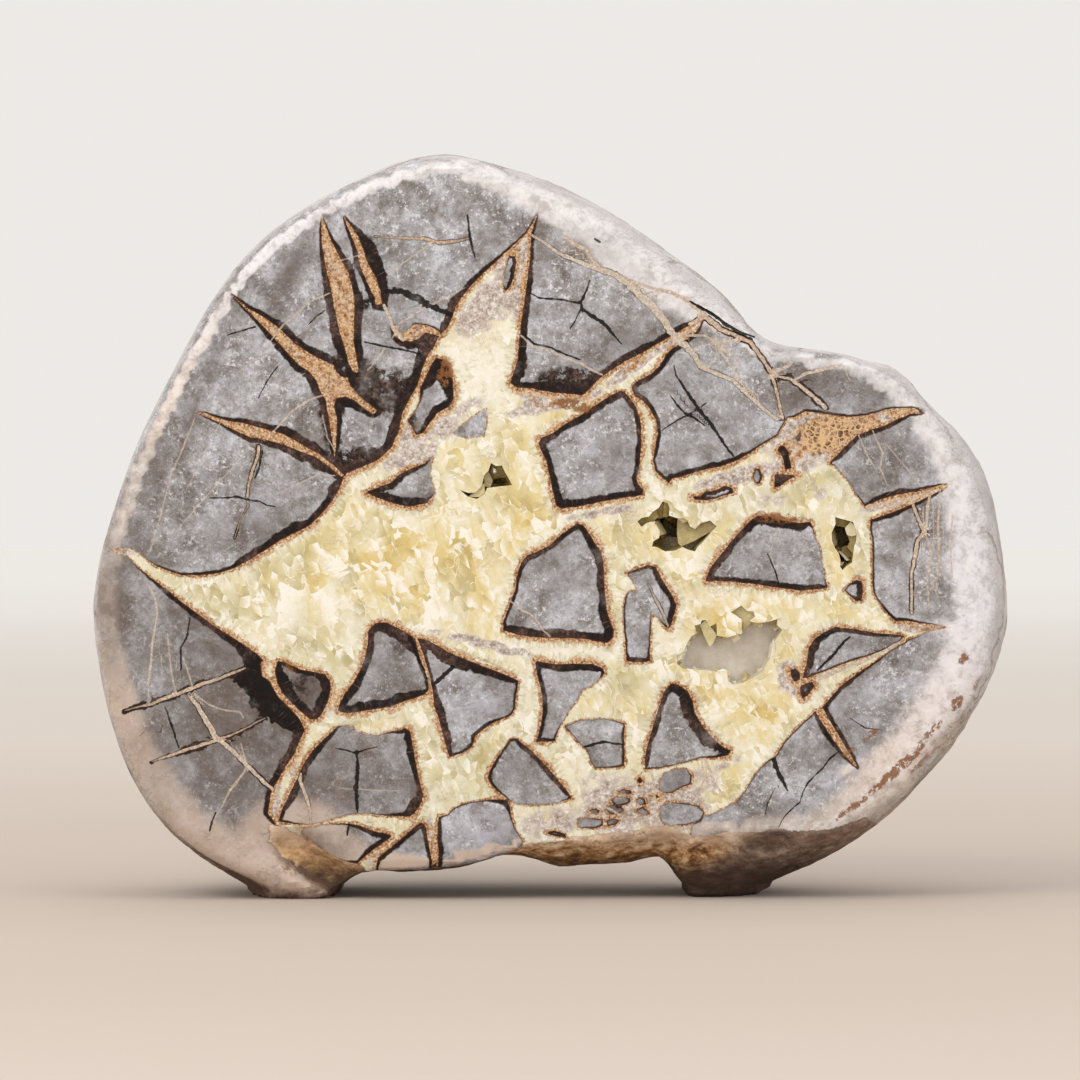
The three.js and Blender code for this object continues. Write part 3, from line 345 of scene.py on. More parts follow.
# Light veins inside the limestone, as x, z and half width: first how tan they are (0 white, 1 orange
# tan), then how wide a dark border they have
veins = [
    (0.45, 0.5, [
        (-85, 36.5, 0.1), (-82, 37.3, 0.15), (-79.5, 37.8, 0.25), (-77, 39, 0.32), (-74, 40, 0.35),
        (-71.5, 41, 0.35), (-69, 42, 0.32), (-66, 43, 0.28), (-63.5, 44, 0.22), (-61, 45, 0.15)]),
    (0.5, 0.6, [
        (-79.5, 26.3, 0.1), (-77, 27.2, 0.22), (-75, 27.8, 0.26), (-72, 28.9, 0.26), (-69, 29.8, 0.28),
        (-66.5, 30.6, 0.3), (-64, 31.5, 0.2), (-61.5, 32.6, 0.15), (-59, 34, 0.12), (-57, 35, 0.1)]),
    (0.2, 0.2, [
        (-72.2, 39.5, 0.2), (-70.5, 37.5, 0.4), (-68.8, 34.5, 0.45), (-67.3, 32, 0.5), (-66.5, 30.8, 0.5),
        (-65, 29.8, 0.45), (-63, 28, 0.4), (-61, 26, 0.35), (-59, 24, 0.3), (-57, 22, 0.3),
        (-55.5, 20.8, 0.3)]),
    (0.1, 0, [
        (-71, 39.8, 0.15), (-68.5, 37.8, 0.15), (-65.5, 36.7, 0.15), (-62, 36.2, 0.15), (-61.3, 35, 0.1)]),
    (0.1, 0, [(-73.5, 47.3, 0.12), (-72.5, 44.5, 0.15), (-71.5, 41.5, 0.15)]),
    (0.15, 0, [
        (-80.5, 62, 0.15), (-79, 59, 0.2), (-78.5, 56, 0.2), (-79, 53, 0.2), (-79.5, 50, 0.2),
        (-79.8, 46, 0.2), (-80.3, 42, 0.2), (-80.2, 38.3, 0.15)]),
    (0.2, 0, [(-76.5, 52, 0.12), (-76, 47, 0.15), (-75.5, 43, 0.15), (-75, 40.5, 0.15)]),
    (0.3, 0, [
        (-60.5, 25.5, 0.15), (-61.3, 24, 0.2), (-64, 20.5, 0.2), (-65.5, 17.5, 0.15), (-67.5, 14.5, 0.1)]),
    (0.1, 0, [(-61.8, 29.8, 0.15), (-60.7, 26, 0.15)]),
    (0.3, 0.15, [
        (-49.8, 23.8, 0.2), (-50, 22.5, 0.3), (-48.8, 19.5, 0.3), (-48, 16.5, 0.25), (-47.8, 14, 0.2)]),
    (0.2, 0, [(-42, 21, 0.08), (-36, 20.6, 0.12), (-30, 20.4, 0.08)]),
    (0.6, 0.2, [
        (-58.2, 89.3, 0.25), (-58.5, 87, 0.25), (-59.5, 84.5, 0.25), (-60.3, 81.5, 0.22), (-60.5, 79, 0.2),
        (-60.3, 77.5, 0.12), (-62, 74.5, 0.1), (-63, 71, 0.08)]),
    (0.7, 0.15, [
        (-35, 131.3, 0.1), (-30, 131, 0.2), (-25, 130.8, 0.25), (-22, 130, 0.28), (-19, 130.3, 0.22),
        (-16, 131, 0.12)]),
    (0.2, 0, [(-32, 124, 0.15), (-28, 127, 0.15), (-24, 129.8, 0.15)]),
    (0.1, 0, [(-42.5, 126.3, 0.1), (-40, 127, 0.12), (-37, 127.8, 0.1)]),
    (0.25, 0, [
        (-31.5, 111, 0.15), (-30, 114, 0.15), (-25, 117, 0.2), (-20, 119.5, 0.15), (-17, 121, 0.1)]),
    (0.2, 0.1, [(-33.2, 117.5, 0.25), (-32, 115, 0.3), (-31.3, 112.8, 0.3), (-29.5, 110.6, 0.3)]),
    (0.1, 0, [
        (-56.5, 109.5, 0.1), (-53.5, 113.5, 0.15), (-51, 115.5, 0.18), (-48.5, 118, 0.15), (-44, 120, 0.12)]),
    (0.1, 0, [(-63, 103.5, 0.08), (-60, 106, 0.1), (-55, 109.8, 0.1)]),
    (0.1, 0, [(-56, 100.5, 0.08), (-52, 102.5, 0.1), (-49, 104, 0.1)]),
    (0.25, 0, [(-56, 91.5, 0.15), (-52, 96, 0.18), (-48.5, 98.5, 0.2), (-45.5, 99.5, 0.15)]),
    (0.35, 0, [(-71, 95, 0.12), (-73, 90, 0.15), (-76, 83, 0.15), (-78, 75, 0.15), (-80, 68, 0.12)]),
    (0.1, 0, [(-66, 94, 0.08), (-69, 88, 0.1), (-71.5, 83, 0.1), (-73, 80, 0.08)]),
    (0.1, 0, [(-60.5, 88.5, 0.08), (-64, 84.5, 0.12), (-69, 79, 0.12), (-73, 74.5, 0.1), (-75, 72, 0.08)]),
    (0.05, 0, [(-43, 83.5, 0.15), (-46, 83.7, 0.15), (-50, 82, 0.12), (-55, 79.7, 0.08)]),
    (0.05, 0, [(-45.5, 95.5, 0.12), (-44.5, 91, 0.12), (-43, 88.5, 0.1)]),
    (0.12, 0.15, [
        (-3.5, 131.5, 0.2), (-1, 130, 0.25), (1.5, 128, 0.3), (4, 127, 0.35), (8, 125.3, 0.4),
        (10, 124.8, 0.5), (13, 123.7, 0.5), (15.5, 122, 0.65), (18, 119.5, 0.7), (20.5, 117.3, 0.7),
        (22.5, 115, 0.7), (24, 112.5, 0.65), (25.3, 110.8, 0.6), (27, 109.5, 0.55), (29, 107.5, 0.5),
        (30, 105.3, 0.4), (33, 104, 0.35), (36.5, 102.6, 0.35), (38.3, 100.8, 0.3), (41, 98.2, 0.3),
        (43.5, 96.2, 0.3), (45.3, 94.8, 0.3)]),
    (0.35, 0.1, [
        (2.5, 131.3, 0.25), (5, 129.7, 0.3), (7.2, 128.6, 0.35), (8.3, 126.8, 0.35), (9.5, 125.3, 0.35)]),
    (0.3, 0.1, [
        (15, 123, 0.25), (18, 121.8, 0.2), (21.5, 120.6, 0.25), (24, 120.2, 0.3), (27, 118.8, 0.35),
        (29.5, 116.8, 0.4), (31, 115.2, 0.6)]),
    (0.5, 0.25, [
        (28, 113.8, 0.3), (31, 115.3, 0.5), (34, 112.8, 0.4), (36, 112, 0.35), (40, 110.2, 0.4),
        (42, 107.5, 0.3), (44, 104.5, 0.35), (45, 101.5, 0.25), (45.7, 98.5, 0.25), (46.5, 95, 0.3)]),
    (0.2, 0, [
        (28.5, 108, 0.12), (30, 109.5, 0.15), (32, 109.8, 0.15), (33.3, 108.5, 0.15), (33, 106.5, 0.15),
        (31.5, 105.2, 0.15), (30, 106.5, 0.12)]),
    (0.3, 0, [
        (33, 111.5, 0.15), (33.5, 109.5, 0.2), (35, 107, 0.22), (36.5, 105, 0.2), (38, 103, 0.2),
        (39.5, 101, 0.2), (41.5, 99.5, 0.15), (41.7, 98, 0.12)]),
    (0.3, 0, [(33.3, 109.8, 0.2), (35, 110.3, 0.25), (37.5, 110.2, 0.2)]),
    (0.3, 0, [(24.5, 112, 0.15), (27, 111.5, 0.2), (31, 111.5, 0.2), (35.5, 108.5, 0.2), (38.5, 106, 0.15)]),
    (0.3, 0.4, [
        (45, 103.5, 0.2), (48, 102.8, 0.25), (50, 101.5, 0.3), (52, 99.8, 0.3), (53.5, 98.5, 0.35),
        (55, 97, 0.35)]),
    (0.2, 0.1, [(48.7, 102.5, 0.2), (51, 103.8, 0.3), (55, 104.8, 0.3), (58, 105.5, 0.2)]),
    (0.25, 0, [(44, 103.2, 0.3), (45.5, 104.5, 0.4), (47, 105, 0.3), (48.2, 105.8, 0.2)]),
    (0.1, 0, [(58, 107, 0.1), (59, 104.5, 0.15), (60, 102.5, 0.1)]),
    (0.1, 0, [(61.7, 91.5, 0.12), (63, 88.5, 0.15), (65, 85, 0.1)]),
    (0.15, 0, [(64.5, 92.5, 0.12), (66.5, 88, 0.18), (66, 85, 0.15), (67.5, 81.5, 0.1)]),
    (0.1, 0, [(67, 90, 0.1), (70, 86.5, 0.12), (72.5, 83.5, 0.12), (74, 81.5, 0.1)]),
    (0.45, 0.1, [(63.5, 77.3, 0.3), (66, 77.4, 0.35), (70, 78.4, 0.35), (74, 79.4, 0.3), (78, 80.6, 0.2)]),
    (0.35, 0.2, [
        (72.5, 78, 0.25), (73.5, 75, 0.3), (75, 72.3, 0.35), (73.5, 70.5, 0.35), (73, 67, 0.35),
        (72.3, 64, 0.25), (72.3, 60, 0.25), (72.3, 56, 0.2)]),
    (0.3, 0, [(76, 80, 0.2), (75.5, 77, 0.25), (75.2, 73.5, 0.25), (75, 72, 0.2)]),
    (0.4, 0, [(78, 80, 0.15), (77.6, 74, 0.22), (77.8, 67, 0.2), (77.2, 60, 0.15)]),
    (0.3, 0, [(80.5, 76, 0.15), (80, 70, 0.18), (80.4, 63, 0.15)]),
    (0.35, 0, [(75, 72, 0.2), (76.2, 68, 0.2), (75.4, 63, 0.2), (75.8, 57, 0.15)]),
    (0.35, 0.15, [(19.7, 61.8, 0.1), (21.2, 58.6, 0.2), (22.4, 56.3, 0.22), (23.6, 53.5, 0.15)]),
    (0.2, 0.1, [
        (-8, 58.5, 0.15), (-6, 56.8, 0.2), (-4, 55.8, 0.2), (-2.5, 54.3, 0.2), (-1.3, 52.5, 0.2),
        (0, 51.3, 0.15)]),
    (0.5, 0.3, [(-20, 49.3, 0.1), (-14, 46.9, 0.2), (-10, 45.2, 0.2), (-6.5, 43.6, 0.1)]),
    (0.15, 0, [(53.5, 42.8, 0.4), (56, 43.9, 0.5), (60, 45.3, 0.4), (65, 47.4, 0.3), (70, 50.2, 0.2)]),
    (0.1, 0, [(46, 62, 0.06), (44, 68, 0.1), (45.7, 73, 0.06)]),
    (0.2, 0, [(-5.8, 111.5, 0.15), (-3.5, 109.3, 0.2), (0, 108.5, 0.22), (3, 107, 0.2), (6, 106, 0.2),
        (8.5, 104.5, 0.2), (10.5, 103.6, 0.15)]),
    (0.1, 0, [(-36.5, 104.5, 0.12), (-34.2, 107.2, 0.15), (-32.8, 109.4, 0.12)]),
    (0.35, 0, [(31, 26.8, 0.2), (32.2, 24, 0.25), (33.2, 21.5, 0.2), (35.5, 18.8, 0.15)]),
    (0.3, 0, [(30.2, 26.6, 0.15), (31, 23, 0.2), (29.8, 20, 0.2), (31.5, 16.5, 0.15)]),
    (0.3, 0, [(20.2, 24.4, 0.2), (20.8, 21.5, 0.25), (21, 17, 0.2), (21.5, 13.8, 0.15)]),
    (0.2, 0, [(8.5, 19.2, 0.15), (11.2, 17.2, 0.2), (14.8, 15.2, 0.2), (20.8, 14.6, 0.15)]),
]

# Dark open cracks in the limestone, as x, z and half width
cracks = [
    [
        (-32.6, 120.4, 0.5), (-30, 120.3, 0.65), (-28.5, 120, 0.7), (-27, 119, 0.75), (-25, 118, 0.7),
        (-23, 117, 0.6), (-21, 116.2, 0.5), (-19.8, 115.5, 0.5)],
    [
        (-68, 79, 0.1), (-64.5, 79, 0.15), (-62.5, 79.2, 0.18), (-60.5, 78.7, 0.2), (-58, 78.3, 0.18),
        (-56.5, 77.5, 0.15), (-55, 77.3, 0.1)],
    [(-16.5, 135.5, 0.15), (-16, 131, 0.25), (-15, 127, 0.1)],
    [(-64.5, 111.5, 0.1), (-62, 112.3, 0.15), (-59, 113.2, 0.15)],
    [(-48.5, 113.5, 0.1), (-47, 115, 0.12), (-45, 116.5, 0.12)],
    [(-58.3, 99, 0.1), (-56.5, 102.5, 0.12), (-54.5, 105.3, 0.1)],
    [(-37, 110.2, 0.12), (-33, 109.3, 0.2), (-29, 108.6, 0.18), (-25.5, 107.6, 0.12)],
    [(-57.5, 88.5, 0.2), (-58.2, 85, 0.2), (-59, 83, 0.12)],
    [(-72, 55, 0.1), (-72.5, 51.5, 0.2), (-73.8, 49, 0.2), (-73.8, 44.5, 0.15)],
    [(-77, 37.3, 0.15), (-76, 34.5, 0.2), (-75, 31.5, 0.2), (-74.2, 29, 0.15)],
    [(-66.8, 16, 0.15), (-67.5, 14.5, 0.2), (-68, 12.5, 0.2)],
    [(-38.7, 28.5, 0.15), (-38.5, 25, 0.35), (-38.8, 21, 0.4), (-38.6, 18, 0.35), (-38.5, 16.2, 0.2)],
    [(-43, 29, 0.08), (-40.5, 28.5, 0.15), (-38.8, 28, 0.15), (-36.5, 28.8, 0.15), (-34.5, 29.2, 0.08)],
    [(-40.2, 13.8, 0.3), (-40.4, 12.6, 0.2), (-40.5, 11.5, 0.1)],
    [(-28, 51, 0.4), (-26.8, 48, 0.4), (-25.6, 46, 0.4), (-24.6, 43.5, 0.45), (-23.9, 40, 0.5)],
    [(-23, 42, 0.4), (-21.2, 43.5, 0.45), (-19.5, 45.2, 0.4)],
    [(-4, 120, 0.12), (-2, 118.9, 0.18), (2, 118.7, 0.18), (6, 117.9, 0.15)],
    [
        (8, 122.5, 0.12), (7, 119.8, 0.22), (6.2, 118.3, 0.3), (6.3, 116.8, 0.3), (8.5, 115.3, 0.38),
        (11, 113.7, 0.35), (13, 111.3, 0.25), (14.3, 109.8, 0.12)],
    [(6, 116.5, 0.1), (4.8, 114, 0.15), (4, 112.8, 0.08)],
    [(-5.3, 111.8, 0.15), (-3.2, 109.8, 0.2), (0, 109.1, 0.2), (3, 107.7, 0.18), (6, 106.7, 0.15)],
    [(9, 130.7, 0.2), (10, 130.2, 0.2)],
    [
        (28, 118.3, 0.2), (30.5, 116.8, 0.3), (32.5, 115.7, 0.3), (35, 113.8, 0.3), (38, 111.8, 0.25),
        (40.5, 110.8, 0.15)],
    [
        (24.8, 105.5, 0.1), (25.2, 103.5, 0.15), (26.5, 101.5, 0.22), (28.5, 98.5, 0.3), (30, 96.5, 0.35),
        (32, 94, 0.35), (33.5, 92, 0.3), (35, 89.5, 0.25), (36.7, 87.3, 0.15)],
    [(24, 99.5, 0.1), (25.5, 97.5, 0.2), (27, 96, 0.25), (28.5, 95.2, 0.25), (31, 93.5, 0.12)],
    [(22, 92.3, 0.08), (25.5, 94.5, 0.15), (29, 96.4, 0.15), (31.3, 98, 0.08)],
    [(6.8, 29.2, 0.2), (9, 29.8, 0.25), (11, 30.2, 0.25), (14.8, 29.7, 0.15)],
    [(43.5, 67.8, 0.08), (45, 64.5, 0.15), (45.7, 62, 0.15)],
    [(53.5, 44.5, 0.2), (55.5, 46.5, 0.3), (57, 48, 0.3), (59, 50.5, 0.25), (60, 51.3, 0.15)],
    [(44.6, 27.2, 0.55), (45.2, 25, 0.5), (46.5, 22.5, 0.4), (47.5, 20.5, 0.15)],
    [
        (58, 28.3, 0.15), (56, 27, 0.15), (54.5, 25, 0.15), (53, 23.5, 0.15), (51.5, 22, 0.15),
        (50.5, 20, 0.12), (50, 18.2, 0.12), (48, 16.5, 0.12), (46.5, 14.8, 0.1), (45.7, 13, 0.08)],
    [(45, 21, 0.05), (43.5, 18, 0.1), (43, 15.5, 0.05)],
    [(60, 35, 0.05), (63, 33, 0.1), (66.5, 32.5, 0.05)],
]

# Soft patches as x, z, half length, half width, turn in degrees and strength
patches = {
    # nearly black, broken up by brown grains
    "charred": [
        (-36, 101.5, 8, 3.8, -35, 1.45), (-30.5, 97, 5, 2.2, -50, 1.1), (-32, 100.5, 4.5, 4, 20, 1.35),
        (-44, 94.5, 7, 2.2, 100, 1.0), (-37.5, 87, 8, 2, 4, 1.4), (-29.5, 95.5, 6, 1.6, 80, 0.9),
        (-42.2, 105.6, 1.6, 1.2, 60, 1.6), (-36.5, 104.3, 2, 1, -10, 1.6), (-45.4, 86.6, 2.2, 1.6, 30, 1.5),
        (-42.3, 97, 3, 1.3, 85, 1.0), (-35.5, 118, 3.4, 1.2, 12, 0.9), (-35.4, 127.5, 5, 1.5, 105, 0.7),
        (4.5, 102, 7, 3, 0, 1.3), (-50.5, 42, 4.5, 4.5, 0, 0.55), (10, 110, 9, 3, 20, 0.35),
        (-30.3, 48.5, 3.5, 2.2, -30, 0.5), (-62, 49, 3.5, 1.2, -42, 0.4), (-56, 29.5, 5, 2, 45, 0.45),
        (34, 22.5, 5, 1.8, 20, 0.2),
    ],
    # brown staining in the grey
    "smoky": [
        (-78, 52, 8, 15, 5, 0.75), (68, 86, 7, 8, 0, 0.5), (48, 104, 7, 4, -35, 0.7), (44, 68, 9, 6, 0, 0.4),
        (-63, 33, 19, 21, 0, 1.1), (-69, 50, 13, 6, -38, 1.0), (33, 95, 8, 6, 0, 0.4),
        (-40, 24, 12, 10, 0, 0.85), (-33, 45, 7, 8, 0, 0.6), (-44, 9.5, 8, 4, -10, 0.9),
        (-49.5, 40, 5, 5, 0, 1.3), (14, 17, 8, 5, 0, 1.0), (25, 19, 5, 5, 0, 0.4),
        (50, 99.5, 4, 1.8, 25, 1.1), (57, 103, 6, 2, -10, 0.8), (-88, 57, 5.5, 15, 4, 1.15),
        (-70, 100, 19, 0.8, 74, 0.8), (-79.5, 82, 9, 3, 75, 0.7), (-83, 68, 10, 2.6, 82, 0.6),
        (-77, 26, 7, 14, 25, 0.8), (-60, 18, 8, 6, 0, 0.5), (-51.5, 125, 8, 2.2, 60, 0.9),
        (-55, 117.5, 5, 2.5, 60, 0.7), (-67.5, 106, 9, 1.8, 68, 0.8), (-72.5, 92, 10, 2, 75, 0.6),
        (-62, 72, 7, 3.5, 20, 0.5), (-74, 76, 10, 3, 75, 0.3), (-60, 84, 9, 2.5, 60, 0.35),
        (-57, 75, 11, 6, 20, 0.35), (8, 130, 9, 3, 10, 0.4), (13, 127.5, 6, 2, -20, 0.4),
        (12, 108.5, 12, 3.5, 18, 0.6), (52, 102, 5, 2.2, -20, 1.0), (60, 101.5, 9, 3, -15, 0.6),
        (30, 89, 9, 3, 10, 0.35), (28, 101, 5, 4, 30, 0.3), (-30, 112, 5, 3, 20, 0.5),
        (-72, 30, 12, 5, 20, 0.45), (-66, 22, 9, 6, -40, 0.5), (-74, 52, 7, 4, -40, 0.45),
        (-60, 38, 8, 3, 15, 0.6), (-45, 19, 7, 3, 0, 0.45), (-35, 20, 6, 4, 30, 0.35),
        (-31, 27, 4, 4, 0, 0.4), (70, 68, 3, 14, 0, 0.3), (68, 86, 6, 6, 0, 0.35), (63, 50, 6, 1.5, 8, 0.6),
        (40, 70, 7, 3, 0, 0.3), (-28, 79, 5, 1.5, 5, 0.9), (2, 60, 6, 8, 0, 0.2), (-46, 8, 6, 3, 10, 0.4),
        (25, 34, 3, 5, 20, 0.25), (-5, 23, 4, 4, 0, 0.3), (14.5, 83, 3, 10, 5, 0.3),
        (55, 30, 10, 4, 40, 0.35), (45, 15, 7, 3, 10, 0.4), (-84, 60, 3, 12, 0, 0.4),
        (-78, 84, 3, 14, -25, 0.35), (31, 121, 8, 3, -40, 0.35),
    ],
    # paler, bluish grey
    "misty": [
        (-61, 76, 8, 4, 30, 0.5), (-50, 111, 6, 5, 30, 0.4), (-33, 113.5, 3, 4, 0, 0.5),
        (-24, 124, 9, 6, 0, 0.3), (-40.3, 127, 1.6, 5, 12, 0.6), (8, 88, 7, 7, 0, 0.4),
        (-5, 24, 4, 5, 0, 0.6), (34, 97, 8, 6, -20, 0.4), (5, 62, 5, 6, 0, 0.35), (58, 99, 7, 3, -10, 0.3),
        (72, 88, 3, 4, 0, 0.4), (-15, 38, 7, 5, -20, 0.9), (-34, 44, 4, 4, 0, 0.5), (-14, 12, 7, 4, 15, 0.9),
        (-29, 8, 4, 2, 10, 0.6), (3, 42, 5, 3, 0, 0.4), (44, 66, 7, 3, 0, 0.4), (-37, 92.5, 4, 3, 60, 0.4),
        (60, 36, 8, 4, 40, 0.4), (84, 66, 4, 16, 8, 0.8), (80, 40, 8, 6, 45, 0.6), (-66, 60, 9, 3, -35, 0.2),
        (-15.9, 126.3, 0.9, 1.1, 0, 0.95), (28, 22, 4, 2.5, 0, 0.4), (31, 13, 4, 2, 10, 1.6),
        (59, 24.5, 7, 1.8, 35, 1.3), (5, 113, 8, 4, 0, 0.35), (-47, 24, 3, 3, 0, 0.2),
    ],
    # honey tone of the calcite
    "honey": [
        (-20, 66, 16, 10, -10, 0.9), (-30, 60, 9, 6, 20, 0.5), (-8, 72, 8, 8, 0, 0.5),
        (-42, 64, 10, 5, 10, 0.35), (-14, 58, 8, 4, -20, 0.5), (26, 72, 9, 6, 0, 0.35),
        (34, 56, 10, 5, 10, 0.6), (58, 68, 3, 9, 0, 0.35), (40, 36, 8, 5, 30, 0.6), (20, 66, 5, 5, 0, 0.3),
        (32, 40, 6, 5, 30, 0.7), (37, 33, 5, 4, 40, 0.6), (-8, 88, 7, 4, 0, 0.2), (14, 71, 5, 5, 0, 0.2),
        (58, 78, 4, 4, 0, 0.25), (-58, 62, 7, 3, 10, 0.2),
    ],
    # greenish grey, clearer calcite
    "clear": [
        (-66, 57, 8, 4, -20, 0.9), (-72, 61, 7, 3, -10, 0.9), (-52, 66, 9, 3, 28, 0.7),
        (-46, 50, 9, 5, 0, 0.7), (-41, 46, 4, 8, 20, 0.8), (-40, 36, 6, 3, 0, 0.8), (-16, 24, 9, 7, 20, 0.9),
        (19.5, 90, 1.6, 10, 0, 1.0), (52, 66, 2.5, 8, -10, 0.7), (62, 70, 2, 10, 0, 0.7),
        (60, 84, 4, 6, 40, 0.6), (60, 42, 12, 2, 45, 0.9), (46, 28, 10, 2, 55, 0.8), (0, 36, 3, 5, 0, 0.6),
        (15, 42, 6, 3, 0, 0.7), (7, 46, 4, 1, 0, 0.6), (-6, 37, 2, 6, 0, 0.7), (-7, 88, 6, 3, 0, 0.3),
        (60, 50, 8, 2, 10, 0.5), (-38, 73, 8, 3, 20, 0.4), (45, 80, 14, 4, 15, 0.8), (58, 83, 4, 6, 0, 1.2),
        (62.3, 74, 1.8, 9, 0, 1.2), (24, 78, 6, 4, 0, 0.7), (14, 60, 3, 12, 0, 0.6), (2, 14, 7, 3, 0, 0.5),
        (-26, 30, 3, 8, 10, 0.7), (-12, 46, 10, 2, -20, 0.3), (66, 45, 5, 2, 30, 0.8),
    ],
    # white, sugary calcite
    "snowy": [
        (-13, 106, 8, 7, 30, 1.2), (-12, 99, 8, 4, 20, 0.5), (-5, 62, 2.5, 6, 0, 0.5), (5, 78, 4, 3, 0, 0.4),
        (14, 48.4, 12, 1.4, 0, 1.1), (-2, 48.6, 10, 1.5, 0, 1.1), (-6, 37, 2, 6, 0, 0.8),
        (-8, 60, 2.5, 9, 25, 0.6), (20, 76, 8, 2, 0, 0.6), (32, 59, 9, 2, 5, 0.6), (-50, 53, 7, 3, 10, 0.4),
        (6, 30, 5, 6, 30, 0.35), (62, 80, 4, 6, 60, 0.5), (16, 77, 8, 2, 0, 0.3),
    ],
    # fine tan grains in place of clear calcite
    "sandy": [
        (-11.5, 118, 9, 4, 40, 0.97), (-7.5, 127.5, 3.2, 6.5, -16, 1.2), (-5.5, 122, 1.2, 9, -6, 1.2),
        (-26, 88, 4.5, 3, 20, 0.8), (-22, 93, 5, 3, 30, 0.75), (-28, 91, 3.5, 4, 40, 0.8),
        (-30, 86.5, 4, 2, 20, 0.8), (-17, 97, 6, 2, 30, 0.6), (17, 105.6, 7, 1.2, 38, 1.2),
        (26, 111.6, 5, 1.6, 40, 1.2), (1, 98, 10, 1.3, 15, 1.2), (-4, 99.5, 4, 1.2, -30, 1.2),
        (38, 83.5, 10, 1.8, 15, 0.9), (49.5, 88, 5, 4, 10, 1.15), (57, 92, 12, 5, 10, 1.7),
        (70, 96.2, 6, 1.2, 10, 1.3), (54, 80, 3, 3, 30, 0.5), (70, 78.5, 8, 1, 15, 1.2),
        (74, 53, 6, 1, -5, 1.2), (14, 17.5, 8, 6, 0, 1.0), (24, 18, 8, 6, 0, 0.9), (0, 14, 8, 4, 10, 0.6),
        (30, 22, 5, 4, 30, 0.6), (10, 22, 7, 3, 0, 0.5), (-40, 9, 12, 2.5, -20, 0.8),
        (-55, 16, 1.5, 10, 0, 1.0), (-52, 26, 1.5, 8, 30, 0.8), (-13, 49.8, 11, 0.9, -14, 1.15),
        (-24, 10, 1, 6, 0, 1.0), (44, 78.5, 6, 2, 0, 0.5), (48, 43, 3, 4, 20, 0.8),
        (36, 26, 6, 1.4, 20, 0.5), (-86, 68.4, 4, 1, -10, 0.9), (-8, 91, 3, 2, 0, 0.3),
        (10, 76, 8, 1, 10, 0.8), (56, 37, 3, 6, 45, 0.4), (-31, 111.5, 3.2, 1.2, 25, 0.0),
    ],
    # rust brown
    "rusty": [
        (-20.9, 104.2, 1.5, 3, -14, 1.1), (-10, 101, 1, 2, 0, 0.3), (83, 47, 1.2, 0.8, 70, 1.4),
        (81.5, 38, 1.6, 0.9, 60, 1.4), (86, 41.8, 1.6, 0.8, 60, 1.4), (69, 24.4, 7, 0.8, 41, 1.4),
        (75, 26.5, 4, 0.7, 40, 1.0), (61, 17.5, 6, 0.6, 35, 1.0), (76, 32, 4, 0.8, 48, 1.0),
        (64, 31.5, 2.5, 1, 40, 0.7), (60, 28.5, 3, 0.7, 30, 0.6), (-52, 45, 3, 1.4, -70, 0.5),
        (4.5, 97.6, 4, 1.2, -12, 1.0), (46, 75, 6, 1.2, 0, 0.7), (33.5, 33, 1.6, 4.5, 30, 0.35),
        (42.5, 9.5, 7, 2, 10, 0.8), (-50, 5.5, 6, 2.4, 10, 0.6),
        (-30, 109.8, 2.6, 0.8, 25, 0.4), (2, 9, 14, 1.6, 4, 0.6), (18, 10, 8, 2, 0, 0.6),
    ],
}


# Broken lower edge of the stone, stained by clay
brokenEdges = [
    [
        (-56.2, 13.6), (-53, 13.1), (-50.5, 11.6), (-46.5, 9), (-43, 6.9), (-40, 5.2), (-38.4, 6),
        (-36.8, 4.4), (-35.4, 3.2), (-33, 2.6), (-34, -3), (-42.5, -3), (-44.5, 0.6), (-47, 2.8),
        (-50.5, 5.4), (-54, 7.6), (-56, 10),
    ],
    [
        (-16, 4), (-10, 7.4), (-5, 9.6), (2, 10.6), (10, 11.9), (18, 12.8), (23, 13.6), (26.5, 12.4),
        (29, 11), (34, 12), (40, 12), (47, 12.6), (54, 12.4), (59, 13.4), (63, 15), (68, 12), (68, -4),
        (-16, -4),
    ],
]

